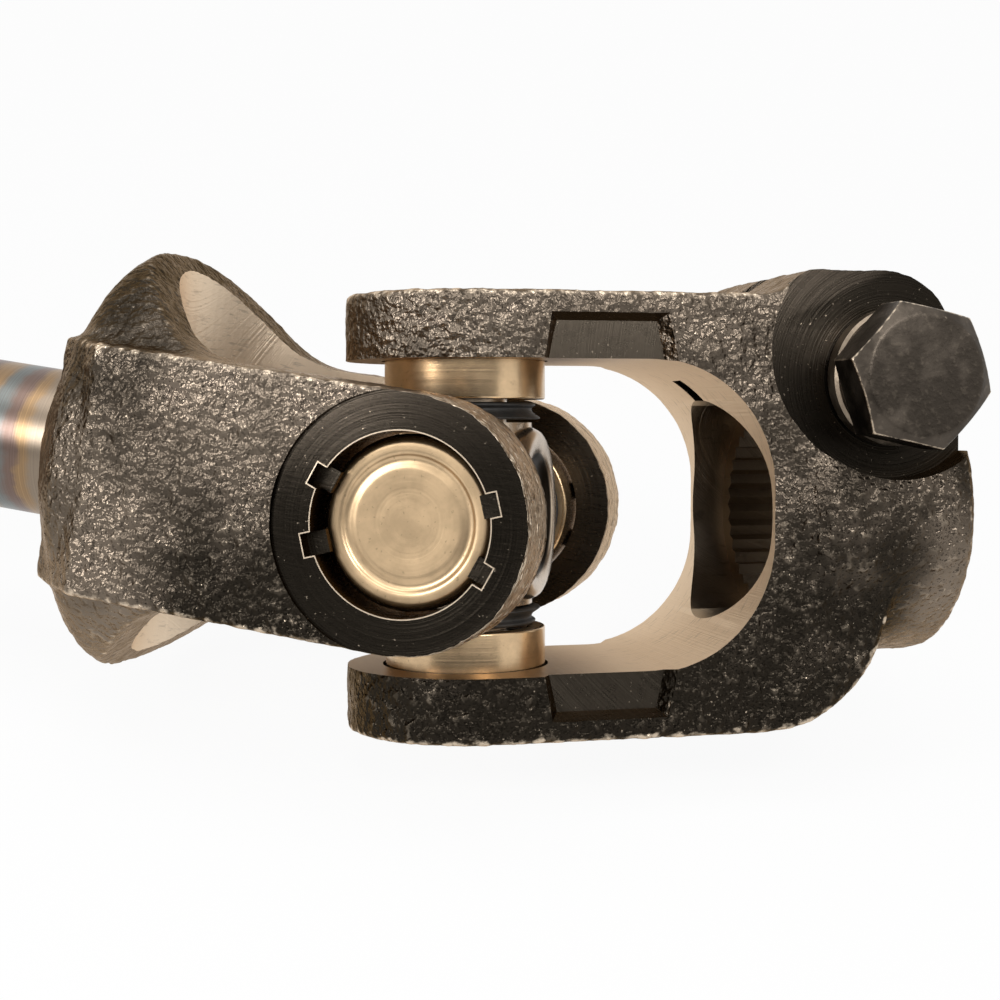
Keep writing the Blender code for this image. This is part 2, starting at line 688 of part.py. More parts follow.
def build_needles(name, parent, frame):
    """Needles round one trunnion, drawn up out of their cage's end ring."""
    inner = trunnion_radius() + RUNNING_GAP
    outer = inner + NEEDLE_DIAMETER
    ring_low = CUP_RIM_REACH + SEAT_GAP
    ring_high = ring_low + CAGE_RING_THICKNESS
    needle_rise = CUP_FACE_REACH - CUP_FLOOR - SEAT_GAP - ring_high

    def build(bm):
        corners = ((inner, ring_low), (outer, ring_low), (outer, ring_high), (inner, ring_high))
        section = [bm.verts.new((radius, 0.0, height)) for radius, height in corners]
        edges = [bm.edges.new((section[corner], section[corner - 1])) for corner in range(4)]
        bmesh.ops.spin(bm, geom=section + edges, axis=(0.0, 0.0, 1.0), angle=math.tau,
                       steps=2 * NEEDLE_COUNT, use_merge=True)
        bmesh.ops.recalc_face_normals(bm, faces=bm.faces)
        tops = [face for face in bm.faces if face.normal.z > 0.9]
        tops.sort(key=lambda face: math.atan2(face.calc_center_median().y, face.calc_center_median().x))
        needles = bmesh.ops.extrude_discrete_faces(bm, faces=tops[::2])["faces"]
        ends = {corner for face in needles for corner in face.verts}
        bmesh.ops.translate(bm, verts=list(ends), vec=(0.0, 0.0, needle_rise))
    return finish_part(make_object(name, mesh_from(name, build), parent, frame), BARE_STEEL)


def build_seal(name, parent, frame):
    """Lip seal between a cup's rim and the cross's shoulder."""
    low = CROSS_SHOULDER_REACH + SEAT_GAP
    high = CUP_RIM_REACH - SEAT_GAP
    inner = trunnion_radius() + SEAT_GAP
    profile = [
        (inner, high),
        (SEAL_RADIUS, high),
        (SEAL_RADIUS, low + SEAL_LIP_THICKNESS),
        (SEAL_LIP_RADIUS, low),
        (inner, low),
    ]
    return finish_part(turned(name, profile, parent, frame, SEAL_SIDES), SEAL_RUBBER)


def build_bearings(prefix, parent):
    """Cup, caged needles and seal in both ears of one fork."""
    for label, side in (("a", 1), ("b", -1)):
        frame = ear_side(side)
        build_cup(prefix + "_cup_" + label, parent, frame)
        build_needles(prefix + "_needles_" + label, parent, frame)
        build_seal(prefix + "_seal_" + label, parent, frame)


def build_joint(prefix, place, shaft_seat):
    """One cardan joint; returns the empty of its shaft yoke."""
    attitude = level_bend()[0]
    clamp_frame = make_empty(prefix + "_clamp_frame", ASSEMBLY, place @ attitude)
    cross_frame = make_empty(prefix + "_cross_frame", clamp_frame, Matrix.Rotation(CROSS_TURN, 4, "Y"))
    to_fork = Matrix(((-1, 0, 0, 0), (0, 0, 1, 0), (0, 1, 0, 0), (0, 0, 0, 1)))
    tilt = Matrix.Rotation(SHAFT_TILT, 4, "Z")
    shaft_frame = make_empty(prefix + "_shaft_frame", cross_frame, tilt @ to_fork)
    build_clamp_yoke(prefix + "_clamp_yoke", clamp_frame)
    build_bolt(prefix + "_pinch_bolt", clamp_frame)
    build_lock_washer(prefix + "_lock_washer", clamp_frame)
    build_bearings(prefix + "_clamp", clamp_frame)
    build_cross(prefix + "_cross", cross_frame)
    build_shaft_yoke(prefix + "_shaft_yoke", shaft_frame, *shaft_seat)
    build_bearings(prefix + "_shaft", shaft_frame)
    return shaft_frame


def spigot_radius():
    return TUBE_BORE_RADIUS + SPIGOT_WALL


def build_inner_shaft(name, parent):
    """Solid shaft, plain at the yoke and splined where it slides."""
    start = YOKE_THROAT_REACH + YOKE_SEAT_WALL + SEAT_GAP
    edge = SHAFT_END_CHAMFER
    profile = [
        (0.0, SHAFT_END_REACH),
        (SHAFT_RADIUS - SLIDE_TOOTH_HEIGHT - edge, SHAFT_END_REACH),
        (SHAFT_RADIUS, SHAFT_END_REACH - SLIDE_TOOTH_HEIGHT - edge),
        (SHAFT_RADIUS, start + edge),
        (SHAFT_RADIUS - edge, start),
        (0.0, start),
    ]
    shaft = turned(name, profile, parent, ALONG_X, SHAFT_SIDES)
    teeth = toothed_outline(SHAFT_RADIUS - SPLINE_TIP_CUT, SLIDE_TOOTH_HEIGHT, SLIDE_TEETH)
    sleeve = cylinder_cutter(name + "_sleeve", SHAFT_RADIUS + CUT_PAST, SLIDE_SPLINE_START,
                             SHAFT_END_REACH + SMALL_STEP, parent, ALONG_X, HUB_SIDES)
    core = prism_cutter(name + "_core", teeth, SLIDE_SPLINE_START - SMALL_STEP,
                        SHAFT_END_REACH + CUT_PAST, parent, ALONG_X)
    combine(sleeve, core, "DIFFERENCE")
    cut(shaft, sleeve)
    return finish_part(shaft, BARE_STEEL)


def build_outer_tube(name, parent, slide_axis):
    """Slip tube: splined bore at its mouth, spigot in the far shaft yoke."""
    mouth = JOINT_SPACING - TUBE_MOUTH_REACH
    shoulder = YOKE_HUB_REACH + SEAT_GAP
    spigot_end = YOKE_THROAT_REACH + SPIGOT_SETBACK
    spline_end = JOINT_SPACING - TUBE_SPLINE_END_REACH
    outer = [
        (TUBE_RADIUS - TUBE_CHAMFER, mouth),
        (TUBE_RADIUS, mouth - TUBE_CHAMFER),
        (TUBE_RADIUS, shoulder + TUBE_CHAMFER),
        (TUBE_RADIUS - TUBE_CHAMFER / 2.0, shoulder),
        (spigot_radius(), shoulder),
        (spigot_radius(), spigot_end),
    ]
    bore_start = SHAFT_RADIUS - SLIDE_TOOTH_HEIGHT - SMALL_STEP
    inner = [
        (TUBE_BORE_RADIUS, spigot_end),
        (TUBE_BORE_RADIUS, spline_end),
        (bore_start, spline_end),
        (bore_start, mouth),
    ]
    tube = turned(name, outer + inner, parent, ALONG_X, SHAFT_SIDES)
    bore = toothed_outline(SHAFT_RADIUS, SLIDE_TOOTH_HEIGHT, SLIDE_TEETH, RUNNING_GAP)
    spline = prism_cutter(name + "_spline", bore, TUBE_MOUTH_REACH - SMALL_STEP,
                          TUBE_SPLINE_END_REACH + SMALL_STEP, slide_axis, ALONG_X)
    cut(tube, spline)
    return finish_part(tube, TUBE_STEEL)


def build_dust_seal(name, parent):
    """Rubber wiper between the tube's mouth and the pressed cap."""
    low = JOINT_SPACING - TUBE_MOUTH_REACH + SEAT_GAP
    high = low + DUST_SEAL_THICKNESS
    inner = SHAFT_RADIUS + DUST_SEAL_GAP
    profile = [
        (inner, high),
        (TUBE_RADIUS - DUST_SEAL_EDGE, high),
        (TUBE_RADIUS, high - DUST_SEAL_EDGE),
        (TUBE_RADIUS, low),
        (inner + DUST_SEAL_LIP, low),
        (inner, low + DUST_SEAL_THICKNESS / 2.0),
    ]
    return finish_part(turned(name, profile, parent, ALONG_X, BEARING_SIDES), SEAL_RUBBER)


def build_seal_cap(name, parent):
    """Pressed steel cap that holds the wiper on the tube's mouth."""
    mouth = JOINT_SPACING - TUBE_MOUTH_REACH
    inside = mouth + 2.0 * SEAT_GAP + DUST_SEAL_THICKNESS
    outside = inside + CAP_WALL
    bore = TUBE_RADIUS + SEAT_GAP
    skin = bore + CAP_WALL
    profile = [
        (CAP_LIP_RADIUS, outside),
        (skin - CAP_WALL, outside),
        (skin, outside - CAP_WALL),
        (skin, mouth - CAP_GRIP),
        (bore, mouth - CAP_GRIP),
        (bore, inside),
        (CAP_LIP_RADIUS, inside),
    ]
    return finish_part(turned(name, profile, parent, ALONG_X, SHAFT_SIDES), DARK_BOLT)


def lowest_point():
    """Lowest corner of every piece, to stand the shaft on the ground."""
    bpy.context.view_layer.update()
    depsgraph = bpy.context.evaluated_depsgraph_get()
    lowest = math.inf
    for shape in PARTS.objects:
        if shape.type != "MESH":
            continue
        mesh = shape.evaluated_get(depsgraph).to_mesh()
        lowest = min(lowest, min((shape.matrix_world @ vertex.co).z for vertex in mesh.vertices))
    return lowest


ASSEMBLY = make_empty("steering_shaft_assembly")


def main():
    bend = level_bend()[1]
    half = JOINT_SPACING / 2.0
    gear_place = Matrix.Translation((half * math.cos(bend), -half * math.sin(bend), 0.0))
    column_place = Matrix.Rotation(math.pi, 4, "Z") @ gear_place

    blind_seat = (SHAFT_RADIUS + SEAT_GAP, YOKE_THROAT_REACH + YOKE_SEAT_WALL)
    open_seat = (spigot_radius() + SEAT_GAP, YOKE_THROAT_REACH - 3.0 * CUT_PAST)
    gear_shaft_frame = build_joint("gear", gear_place, blind_seat)
    column_shaft_frame = build_joint("column", column_place, open_seat)

    build_inner_shaft("inner_shaft", gear_shaft_frame)
    build_outer_tube("outer_tube", column_shaft_frame, gear_shaft_frame)
    build_dust_seal("dust_seal", column_shaft_frame)
    build_seal_cap("seal_cap", column_shaft_frame)

    for shape in PARTS.objects:
        if shape.type == "MESH":
            shade_round(shape)
    ASSEMBLY.location.z = GROUND_HEIGHT - lowest_point()
    bpy.context.view_layer.update()


if __name__ == "__main__":
    main()
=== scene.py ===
"""Looks of an intermediate steering shaft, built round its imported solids.

Each piece is modelled in the frame of its own joint, where the joint's centre
is the origin, +X runs to the hub and Y is the axis of the two bearing cups.
It is then placed in the shaft's frame. Lengths are metres.
"""

import json
import math

import bmesh
import bpy
import numpy as np
from mathutils import Matrix, Vector, noise
from mathutils.bvhtree import BVHTree


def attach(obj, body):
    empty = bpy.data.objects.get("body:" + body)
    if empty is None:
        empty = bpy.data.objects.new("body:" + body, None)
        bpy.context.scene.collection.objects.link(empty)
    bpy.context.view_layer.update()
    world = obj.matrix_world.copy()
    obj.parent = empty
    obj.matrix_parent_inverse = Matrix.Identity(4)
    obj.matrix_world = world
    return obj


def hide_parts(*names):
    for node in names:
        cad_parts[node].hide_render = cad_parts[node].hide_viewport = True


bl_info = {
    "name": "Intermediate Steering Shaft",
    "version": (1, 0, 0),
    "blender": (4, 5, 0),
    "location": "3D View > Sidebar > Steering Shaft",
    "description": "Builds the pieces, the finishes and the studio of a steering shaft",
    "category": "Object",
}

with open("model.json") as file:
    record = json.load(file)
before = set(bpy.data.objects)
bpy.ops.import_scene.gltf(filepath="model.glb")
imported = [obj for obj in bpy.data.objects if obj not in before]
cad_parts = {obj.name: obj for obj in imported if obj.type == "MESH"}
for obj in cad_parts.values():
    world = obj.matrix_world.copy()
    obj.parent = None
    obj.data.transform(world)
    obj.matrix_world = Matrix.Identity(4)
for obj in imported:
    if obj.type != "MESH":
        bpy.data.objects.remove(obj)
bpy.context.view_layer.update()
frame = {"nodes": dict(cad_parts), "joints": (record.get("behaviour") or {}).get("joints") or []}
ENDS = ("gear", "column")
SIDES = (("a", 1), ("b", -1))

# Evenness of the skins that are laid over the forged pieces, in metres
YOKE_SKIN = 0.00039
BOLT_SKIN = 0.00015

# Steps round a full turn
ROUND_STEPS = 96
SEAL_STEPS = 80
PIN_STEPS = 64

# Counts, depths and turns that the photo or a standard gives
SERRATIONS = 36
SERRATION_DEPTH = 0.0007
SLIDE_TEETH = 18
TIP_CUT = 0.00002
THREAD_START = 0.0120
THREAD_PITCH = 0.00125
THREAD_DEPTH = 0.00055
BOLT_TURN = math.radians(48.0)
STAKE_ANGLE = math.radians(21.0)
SPLIT_PLACE = math.radians(25.0)
SPLIT_LEAN = math.radians(25.0)
FACE_CUT = 0.00016

# Fineness of the forged grain, and how its streaks run along a cut
GRAIN_SCALE = 1050.0
STREAKS = (0.35, 0.35, 2.2)

# Heat tints of the shaft: where each one starts and has taken over, counted from the yoke
HEAT_TINTS = (
    (0.0030, 0.0042, "gold"),
    (0.0046, 0.0056, "violet"),
    (0.0060, 0.0072, "teal"),
    (0.0078, 0.0090, "gold"),
    (0.0098, 0.0110, "violet"),
    (0.0125, 0.0170, "shaft"),
)

# How bare a cut leaves the metal, at the ears and at the throat's end
COATED = (0.0, 0.0)
STAKED = (0.02, 0.02)
POCKETED = (0.06, 0.06)
BORED = (0.28, 0.28)
BURR = (0.75, 0.75)

# The photo's camera: focal length in pixels, place and turn in the clamp yoke's frame
FOCAL_PIXELS = 1720.566
PHOTO_PIXELS = 1000.0
SENSOR_MM = 36.0
CAMERA_OFFSET = Vector((-0.003493, -0.001250, -0.172602))
CAMERA_ROLL = math.radians(0.104)
CAMERA_PITCH = math.radians(2.507)
CAMERA_YAW = math.radians(13.723)

# The dark card: half its width, its distance, and the slope at which its top edge is seen
CARD_HALF = 0.95
CARD_DISTANCE = 0.8
CARD_TOP = -0.05

# Half the floor's width, and how white it and the surroundings are
FLOOR_HALF = 3.0
FLOOR_GLOW = 0.94
WORLD_LEVEL = 0.40

# Kind, name, place in the camera's axes, power, and angle or width of each lamp
LAMPS = (
    ("SUN", "top_light", (-0.10, 0.80, 0.35), 0.8, math.radians(40.0)),
    ("AREA", "left_light", (-0.155, 0.055, 0.160), 0.16, 0.080),
    ("AREA", "right_light", (0.080, 0.085, 0.175), 0.14, 0.080),
)


def length(name, text, default):
    return bpy.props.FloatProperty(name=name, description=text, default=default, unit="LENGTH", precision=5)


def colour(name, text, default):
    return bpy.props.FloatVectorProperty(
        name=name, description=text, default=default, subtype="COLOR", size=3, min=0.0, max=1.0
    )


class ShaftSizes(bpy.types.PropertyGroup):
    """Sizes of the pieces."""

    seat_gap: length("Seat gap", "Gap between pieces that seat on each other", 0.0003)
    running_gap: length("Running gap", "Gap between pieces that turn or slide", 0.0002)
    cup_radius: length("Cup radius", "Outside radius of a bearing cup", 0.0080)
    cup_wall: length("Cup wall", "Thickness of a cup's skirt", 0.0014)
    cup_rim: length("Cup rim", "Reach of a cup's open rim from the joint's centre", 0.0113)
    cup_face: length("Cup face", "Reach of a cup's closed face from the joint's centre", 0.0198)
    cup_floor: length("Cup floor", "Thickness of a cup's closed end", 0.0016)
    needle: length("Needle diameter", "Diameter of one needle", 0.0020)
    seal_radius: length("Seal radius", "Radius of a lip seal's body", 0.0071)
    seal_lip: length("Seal lip radius", "Radius of a lip seal's flared lip", 0.0076)
    shoulder_reach: length("Shoulder reach", "Reach of the cross's shoulders", 0.0090)
    shoulder_radius: length("Shoulder radius", "Radius of the cross's shoulders", 0.0067)
    disc_radius: length("Disc radius", "Radius of the cross's round body", 0.00856)
    disc_reach: length("Disc reach", "Half the thickness of the cross's round body", 0.0077)
    dish_radius: length("Dish radius", "Radius of the dish in the cross's body", 0.0062)
    ear_inner: length("Ear inner reach", "Distance of every ear's inner face from the centre", 0.0151)
    stake_reach: length("Stake reach", "Radius at which the stake marks end", 0.0096)
    stake_width: length("Stake width", "Width of one stake mark", 0.0021)
    clamp_ear: length("Clamp ear thickness", "Thickness of the clamp yoke's ears", 0.0065)
    clamp_half: length("Clamp half depth", "Half the width of the clamp yoke's arms", 0.0119)
    clamp_throat: length("Clamp throat", "Reach of the clamp yoke's throat", 0.0283)
    clamp_corner: length("Clamp throat corner", "Radius of the clamp throat's corners", 0.0125)
    clamp_end: length("Clamp end", "Reach of the clamp yoke's hub end", 0.0486)
    clamp_hub: length("Clamp hub radius", "Radius of the clamp yoke's round hub", 0.0151)
    heel_radius: length("Heel radius", "Radius of the clamp yoke's heel", 0.0137)
    bore_radius: length("Bore radius", "Root radius of the serrated bore", 0.0097)
    lead_in: length("Lead-in radius", "Radius of the bore's lead-in", 0.0113)
    slit: length("Slit width", "Width of the clamp's slit", 0.0025)
    bolt_x: length("Bolt reach", "Place of the pinch bolt along the hub", 0.0408)
    bolt_y: length("Bolt rise", "Height of the pinch bolt over the hub's axis", 0.0134)
    boss_rise: length("Boss rise", "Height of the clamp boss over the hub's axis", 0.0240)
    boss_half: length("Boss half depth", "Half the width of the clamp boss", 0.0130)
    spot_height: length("Spot face height", "Distance of the bolt's seat from the middle plane", 0.0109)
    spot_radius: length("Spot face radius", "Radius of the bolt's spot face", 0.0126)
    bolt_radius: length("Bolt radius", "Radius of the pinch bolt's shank", 0.0040)
    bolt_flats: length("Bolt flats", "Width of the bolt head across its flats", 0.0130)
    bolt_head: length("Bolt head height", "Height of the bolt's head", 0.0053)
    bolt_length: length("Bolt length", "Length of the bolt under its head", 0.0250)
    washer_radius: length("Washer radius", "Outside radius of the lock washer", 0.0068)
    washer_height: length("Washer height", "Thickness of the lock washer", 0.0020)
    arm_half: length("Arm half width", "Half the width of the shaft yoke's arms", 0.0118)
    yoke_ear: length("Shaft ear thickness", "Thickness of the shaft yoke's ears", 0.0073)
    pad_step: length("Pad step", "Height of the arms over the ears' machined discs", 0.0004)
    spot_disc: length("Ear disc radius", "Radius of the shaft yoke's machined ear discs", 0.0120)
    pad_reach: length("Pad reach", "Reach of the arms' flat outer sides", 0.0308)
    pad_chamfer: length("Pad chamfer", "Drop of the slope behind the arms' flat sides", 0.0067)
    yoke_throat: length("Shaft throat", "Reach of the shaft yoke's throat", 0.0324)
    dome_radius: length("Dome radius", "Largest radius of the shaft yoke's dome", 0.0224)
    dome_start: length("Dome start", "Reach at which the dome starts to close", 0.0331)
    yoke_end: length("Shaft yoke end", "Reach of the shaft yoke's hub end", 0.0410)
    yoke_hub: length("Shaft hub radius", "Radius of the shaft yoke's hub end", 0.0118)
    flare_start: length("Flare start", "Reach at which the arms start to flare", 0.0200)
    flare_radius: length("Flare radius", "Radius of the flare's fillet", 0.0100)
    seat_wall: length("Seat wall", "Metal left between the throat and the shaft's seat", 0.0025)
    shaft_radius: length("Shaft radius", "Radius of the inner shaft", 0.0078)
    tooth_height: length("Tooth height", "Height of the slide's spline teeth", 0.0009)
    spline_start: length("Spline start", "Reach at which the shaft's splines start", 0.0620)
    shaft_end: length("Shaft end", "Reach of the inner shaft's end", 0.1220)
    joint_spacing: length("Joint spacing", "Distance between the two joints' centres", 0.1800)
    tube_radius: length("Tube radius", "Outside radius of the slip tube", 0.0115)
    tube_mouth: length("Tube mouth", "Reach of the tube's mouth from the gear joint", 0.0880)
    tube_bore: length("Tube bore", "Radius of the tube's plain bore", 0.0084)
    spline_end: length("Spline end", "Reach of the end of the tube's splines", 0.1250)
    spigot_wall: length("Spigot wall", "Thickness of the tube's spigot", 0.0014)
    wiper: length("Wiper thickness", "Thickness of the rubber wiper", 0.0024)
    cap_wall: length("Cap wall", "Thickness of the pressed cap", 0.0008)
    cap_grip: length("Cap grip", "Length of the cap over the tube", 0.0070)
    cap_lip: length("Cap lip radius", "Radius of the hole in the cap", 0.0098)
    grain_depth: length("Grain depth", "Depth of the forged skin's coarse grain", 0.00009)


class ShaftColours(bpy.types.PropertyGroup):
    """Colours of the finishes."""

    paint: colour("Black coating", "Coating of the forged yokes", (0.022, 0.018, 0.0135))
    # Colour of the painted highlight and painted reflection that lighten the black coat on one side of each yoke;
    # random blotches also reach it.
    painted_highlight_coat: colour("Painted highlight coating", "Coat colour where painted highlight and painted reflection fall", (0.20, 0.160, 0.123))
    sheen: colour("Sheen", "Tint of the light that the coating throws back at a low angle", (0.86, 0.70, 0.55))
    # Light metal of rubbed edges and scratches; it is also the colour of painted glints, painted edge highlights
    # and the throat's painted reflection.
    worn_and_painted_highlight: colour("Worn metal and painted highlight", "Metal of rubbed edges and scratches, also painted glints, painted edge highlights and painted reflection", (0.80, 0.655, 0.495))
    cup: colour("Cup steel", "Steel of the bearing cups", (0.74, 0.53, 0.315))
    bearing: colour("Bearing steel", "Steel of the cross and the needles", (0.62, 0.50, 0.38))
    shaft: colour("Shaft steel", "Bare steel of the inner shaft", (0.31, 0.25, 0.19))
    gold: colour("Gold tint", "Heat tint nearest to the yoke", (0.36, 0.235, 0.125))
    violet: colour("Violet tint", "Heat tint between gold and teal", (0.20, 0.14, 0.12))
    teal: colour("Teal tint", "Heat tint furthest from the yoke", (0.19, 0.21, 0.205))
    bolt: colour("Bolt black", "Black oxide of the pinch bolt", (0.095, 0.078, 0.062))
    washer: colour("Washer steel", "Thin black of the lock washer", (0.30, 0.24, 0.18))
    tube: colour("Tube black", "Coating of the slip tube", (0.070, 0.056, 0.043))
    rubber: colour("Rubber", "Rubber of the seals and wiper", (0.012, 0.011, 0.010))


# Shapes


def arc(centre, radius, start, end, steps):
    """Points on an arc, with the angles in degrees."""
    angles = [math.radians(start + (end - start) * step / steps) for step in range(steps + 1)]
    return [(centre[0] + radius * math.cos(a), centre[1] + radius * math.sin(a)) for a in angles]


def eased(profile, ease, steps=3):
    """Round the corners of a profile between its two ends."""
    points = [profile[0]]
    for before, corner, after in zip(profile, profile[1:], profile[2:]):
        first, middle, last = Vector(before), Vector(corner), Vector(after)
        first = middle + (first - middle) * min(0.45, ease / (first - middle).length)
        last = middle + (last - middle) * min(0.45, ease / (last - middle).length)
        for step in range(steps + 1):
            share = step / steps
            point = first * (1 - share) ** 2 + middle * 2 * share * (1 - share) + last * share**2
            points.append(tuple(point))
    return points + [profile[-1]]


def prism(outline, low, high, place=None):
    """A flat outline raised along Z."""
    bm = bmesh.new()
    floor = bm.faces.new([bm.verts.new((x, y, low)) for x, y in outline])
    raised = bmesh.ops.extrude_face_region(bm, geom=[floor])["geom"]
    corners = [item for item in raised if isinstance(item, bmesh.types.BMVert)]
    bmesh.ops.translate(bm, verts=corners, vec=(0.0, 0.0, high - low))
    return placed(bm, place)


def lathe(profile, steps, place=None):
    """A profile of (radius, height), turned round Z."""
    bm = bmesh.new()
    row = [bm.verts.new((radius, 0.0, height)) for radius, height in profile]
    edges = [bm.edges.new(pair) for pair in zip(row, row[1:])]
    if profile[0][0] > 0.0:
        edges.append(bm.edges.new((row[-1], row[0])))
    bmesh.ops.spin(bm, geom=row + edges, axis=(0.0, 0.0, 1.0), angle=math.tau, steps=steps, use_merge=True)
    bmesh.ops.remove_doubles(bm, verts=bm.verts, dist=0.000001)
    return placed(bm, place)


def drum(radius, low, high, place=None, steps=ROUND_STEPS):
    bm = bmesh.new()
    middle = Matrix.Translation((0.0, 0.0, (low + high) / 2.0))
    bmesh.ops.create_cone(
        bm, cap_ends=True, segments=steps, radius1=radius, radius2=radius, depth=high - low, matrix=middle
    )
    return placed(bm, place)


def block(low, high, place=None):
    bm = bmesh.new()
    size = Vector(high) - Vector(low)
    middle = Matrix.Translation((Vector(low) + Vector(high)) / 2.0)
    bmesh.ops.create_cube(bm, size=1.0, matrix=middle @ Matrix.Diagonal((*size, 1.0)))
    return placed(bm, place)


def placed(bm, place):
    if place is not None:
        bmesh.ops.transform(bm, matrix=place, verts=bm.verts)
    bmesh.ops.recalc_face_normals(bm, faces=bm.faces)
    return bm


def loose(bm, name="loose"):
    """An object for a bmesh, not yet a piece."""
    mesh = bpy.data.meshes.new(name)
    bm.to_mesh(mesh)
    bm.free()
    shape = bpy.data.objects.new(name, mesh)
    bpy.context.scene.collection.objects.link(shape)
    return shape


def carve(shape, tool, operation="DIFFERENCE"):
    change = shape.modifiers.new(operation.lower(), "BOOLEAN")
    change.operation = operation
    change.solver = "MANIFOLD"
    change.object = tool
    return tool


def settle(shape, tools=()):
    """Make a shape's modifiers part of its mesh and drop the tools."""
    bpy.context.view_layer.update()
    depsgraph = bpy.context.evaluated_depsgraph_get()
    mesh = bpy.data.meshes.new_from_object(shape.evaluated_get(depsgraph))
    shape.modifiers.clear()
    shape.data = mesh
    for tool in tools:
        bpy.data.objects.remove(tool, do_unlink=True)
    return shape


def round_edges(shape, width, degrees=40.0, segments=4):
    bevel = shape.modifiers.new("round", "BEVEL")
    bevel.width = width
    bevel.segments = segments
    bevel.limit_method = "ANGLE"
    bevel.angle_limit = math.radians(degrees)
    bevel.use_clamp_overlap = True


def even_skin(shape, size):
    """Lay an even skin over a shape, so that it can be shaped finely."""
    skin = shape.modifiers.new("skin", "REMESH")
    skin.mode = "VOXEL"
    skin.voxel_size = size
    return settle(shape)


ALONG_X = Matrix.Rotation(math.pi / 2.0, 4, "Y")
ALONG_Y = Matrix.Rotation(-math.pi / 2.0, 4, "X")
FROM_ABOVE = Matrix.Rotation(math.pi / 2.0, 4, "X")


def ear_frame(side):
    """Frame with Z out through one ear."""
    return Matrix.Rotation(-side * math.pi / 2.0, 4, "X")


# Skins


def mesh_points(mesh, kind="co"):
    values = np.zeros(len(mesh.vertices) * 3, np.float32)
    mesh.vertices.foreach_get(kind, values)
    return values.reshape(-1, 3).astype(float)


def mesh_edges(mesh):
    values = np.zeros(len(mesh.edges) * 2, np.int32)
    mesh.edges.foreach_get("vertices", values)
    return values.reshape(-1, 2)


def set_points(mesh, points):
    mesh.vertices.foreach_set("co", points.astype(np.float32).ravel())
    mesh.update()


def keep_values(mesh, name, values, domain="POINT"):
    """Keep numbers, or rows of three of them, on a mesh."""
    kind, field = ("FLOAT_VECTOR", "vector") if values.ndim == 2 else ("FLOAT", "value")
    layer = mesh.attributes.new(name, kind, domain)
    layer.data.foreach_set(field, values.astype(np.float32).ravel())


def neighbour_mean(values, edges, count):
    """Mean of each point's neighbours."""
    total = np.zeros_like(values)
    np.add.at(total, edges[:, 0], values[edges[:, 1]])
    np.add.at(total, edges[:, 1], values[edges[:, 0]])
    return total / (count[:, None] if values.ndim == 2 else count)


def neighbour_count(edges, total):
    return np.maximum(np.bincount(edges.ravel(), minlength=total), 1)


def bends(mesh, spacing):
    """How sharply each point stands out from its neighbours, from 0 to 1."""
    points, normals, edges = mesh_points(mesh), mesh_points(mesh, "normal"), mesh_edges(mesh)
    count = neighbour_count(edges, len(points))
    bend = np.sum((points - neighbour_mean(points, edges, count)) * normals, axis=1) / spacing
    for _ in range(2):
        bend = 0.5 * bend + 0.5 * neighbour_mean(bend, edges, count)
    return np.clip(bend * 4.0, 0.0, 1.0)


def soften(mesh, rounds):
    points, edges = mesh_points(mesh), mesh_edges(mesh)
    count = neighbour_count(edges, len(points))
    for _ in range(rounds):
        points += 0.5 * (neighbour_mean(points, edges, count) - points)
    set_points(mesh, points)
    return points


def roughen(mesh, depth):
    """Soften a forging's edges and give its skin the coarse grain of the die."""
    points = soften(mesh, 8)
    normals = mesh_points(mesh, "normal")
    lumps = np.array([noise.fractal(Vector(p) * 420.0, 0.7, 2.1, 3) for p in points])
    grit = np.array([noise.fractal(Vector(p) * 1150.0, 0.6, 2.0, 2) for p in points])
    rise = depth * (0.9 * lumps + 0.7 * grit - 0.5)
    set_points(mesh, points + normals * rise[:, None])


def face_centres(mesh):
    values = np.zeros(len(mesh.polygons) * 3, np.float32)
    mesh.polygons.foreach_get("center", values)
    return values.reshape(-1, 3).astype(float)


def mark_cuts(mesh, cutters):
    """Keep which faces the tools have cut, how much metal they lay open, which at the throat's end is a painted
    reflection, and where the skin's edges are rubbed and carry a painted highlight.
    """
    centres = face_centres(mesh)
    cut = np.zeros(len(centres))
    bare_and_painted_reflection = np.zeros((len(centres), 2))
    for tree, shares in cutters:
        touched = [tree.find_nearest(centre, 0.000004)[0] is not None for centre in centres]
        cut[touched] = 1.0
        bare_and_painted_reflection[touched] = shares
    sizes = np.zeros(len(centres), np.int32)
    mesh.polygons.foreach_get("loop_total", sizes)
    corners = np.zeros(len(mesh.loops), np.int32)
    mesh.loops.foreach_get("vertex_index", corners)
    borders = np.zeros(len(mesh.loops), np.int32)
    mesh.loops.foreach_get("edge_index", borders)
    cut_corner = np.repeat(cut, sizes)
    # Painted reflection: on the throat, the open-metal share grows from the ears to the throat's end, where the
    # coat mirrors its surroundings at a low angle.
    reach = np.interp(mesh_points(mesh)[corners, 0], (0.006, 0.022), (0.0, 1.0))
    near, far = np.repeat(bare_and_painted_reflection, sizes, axis=0).T
    rim = np.bincount(corners, cut_corner, len(mesh.vertices)) > 0.0
    edges = mesh_edges(mesh)
    near_rim = neighbour_mean(rim.astype(float), edges, neighbour_count(edges, len(rim))) + rim > 0.0
    edge = (bends(mesh, YOKE_SKIN) * ~near_rim)[corners] * (1.0 - cut_corner)
    keep_values(mesh, "cut", cut, "FACE")
    keep_values(mesh, "bare_and_painted_reflection", near + (far - near) * reach, "CORNER")
    keep_values(mesh, "edge", edge, "CORNER")
    keep_values(mesh, "border", np.bincount(borders, cut_corner, len(mesh.edges)) == 1.0, "EDGE")


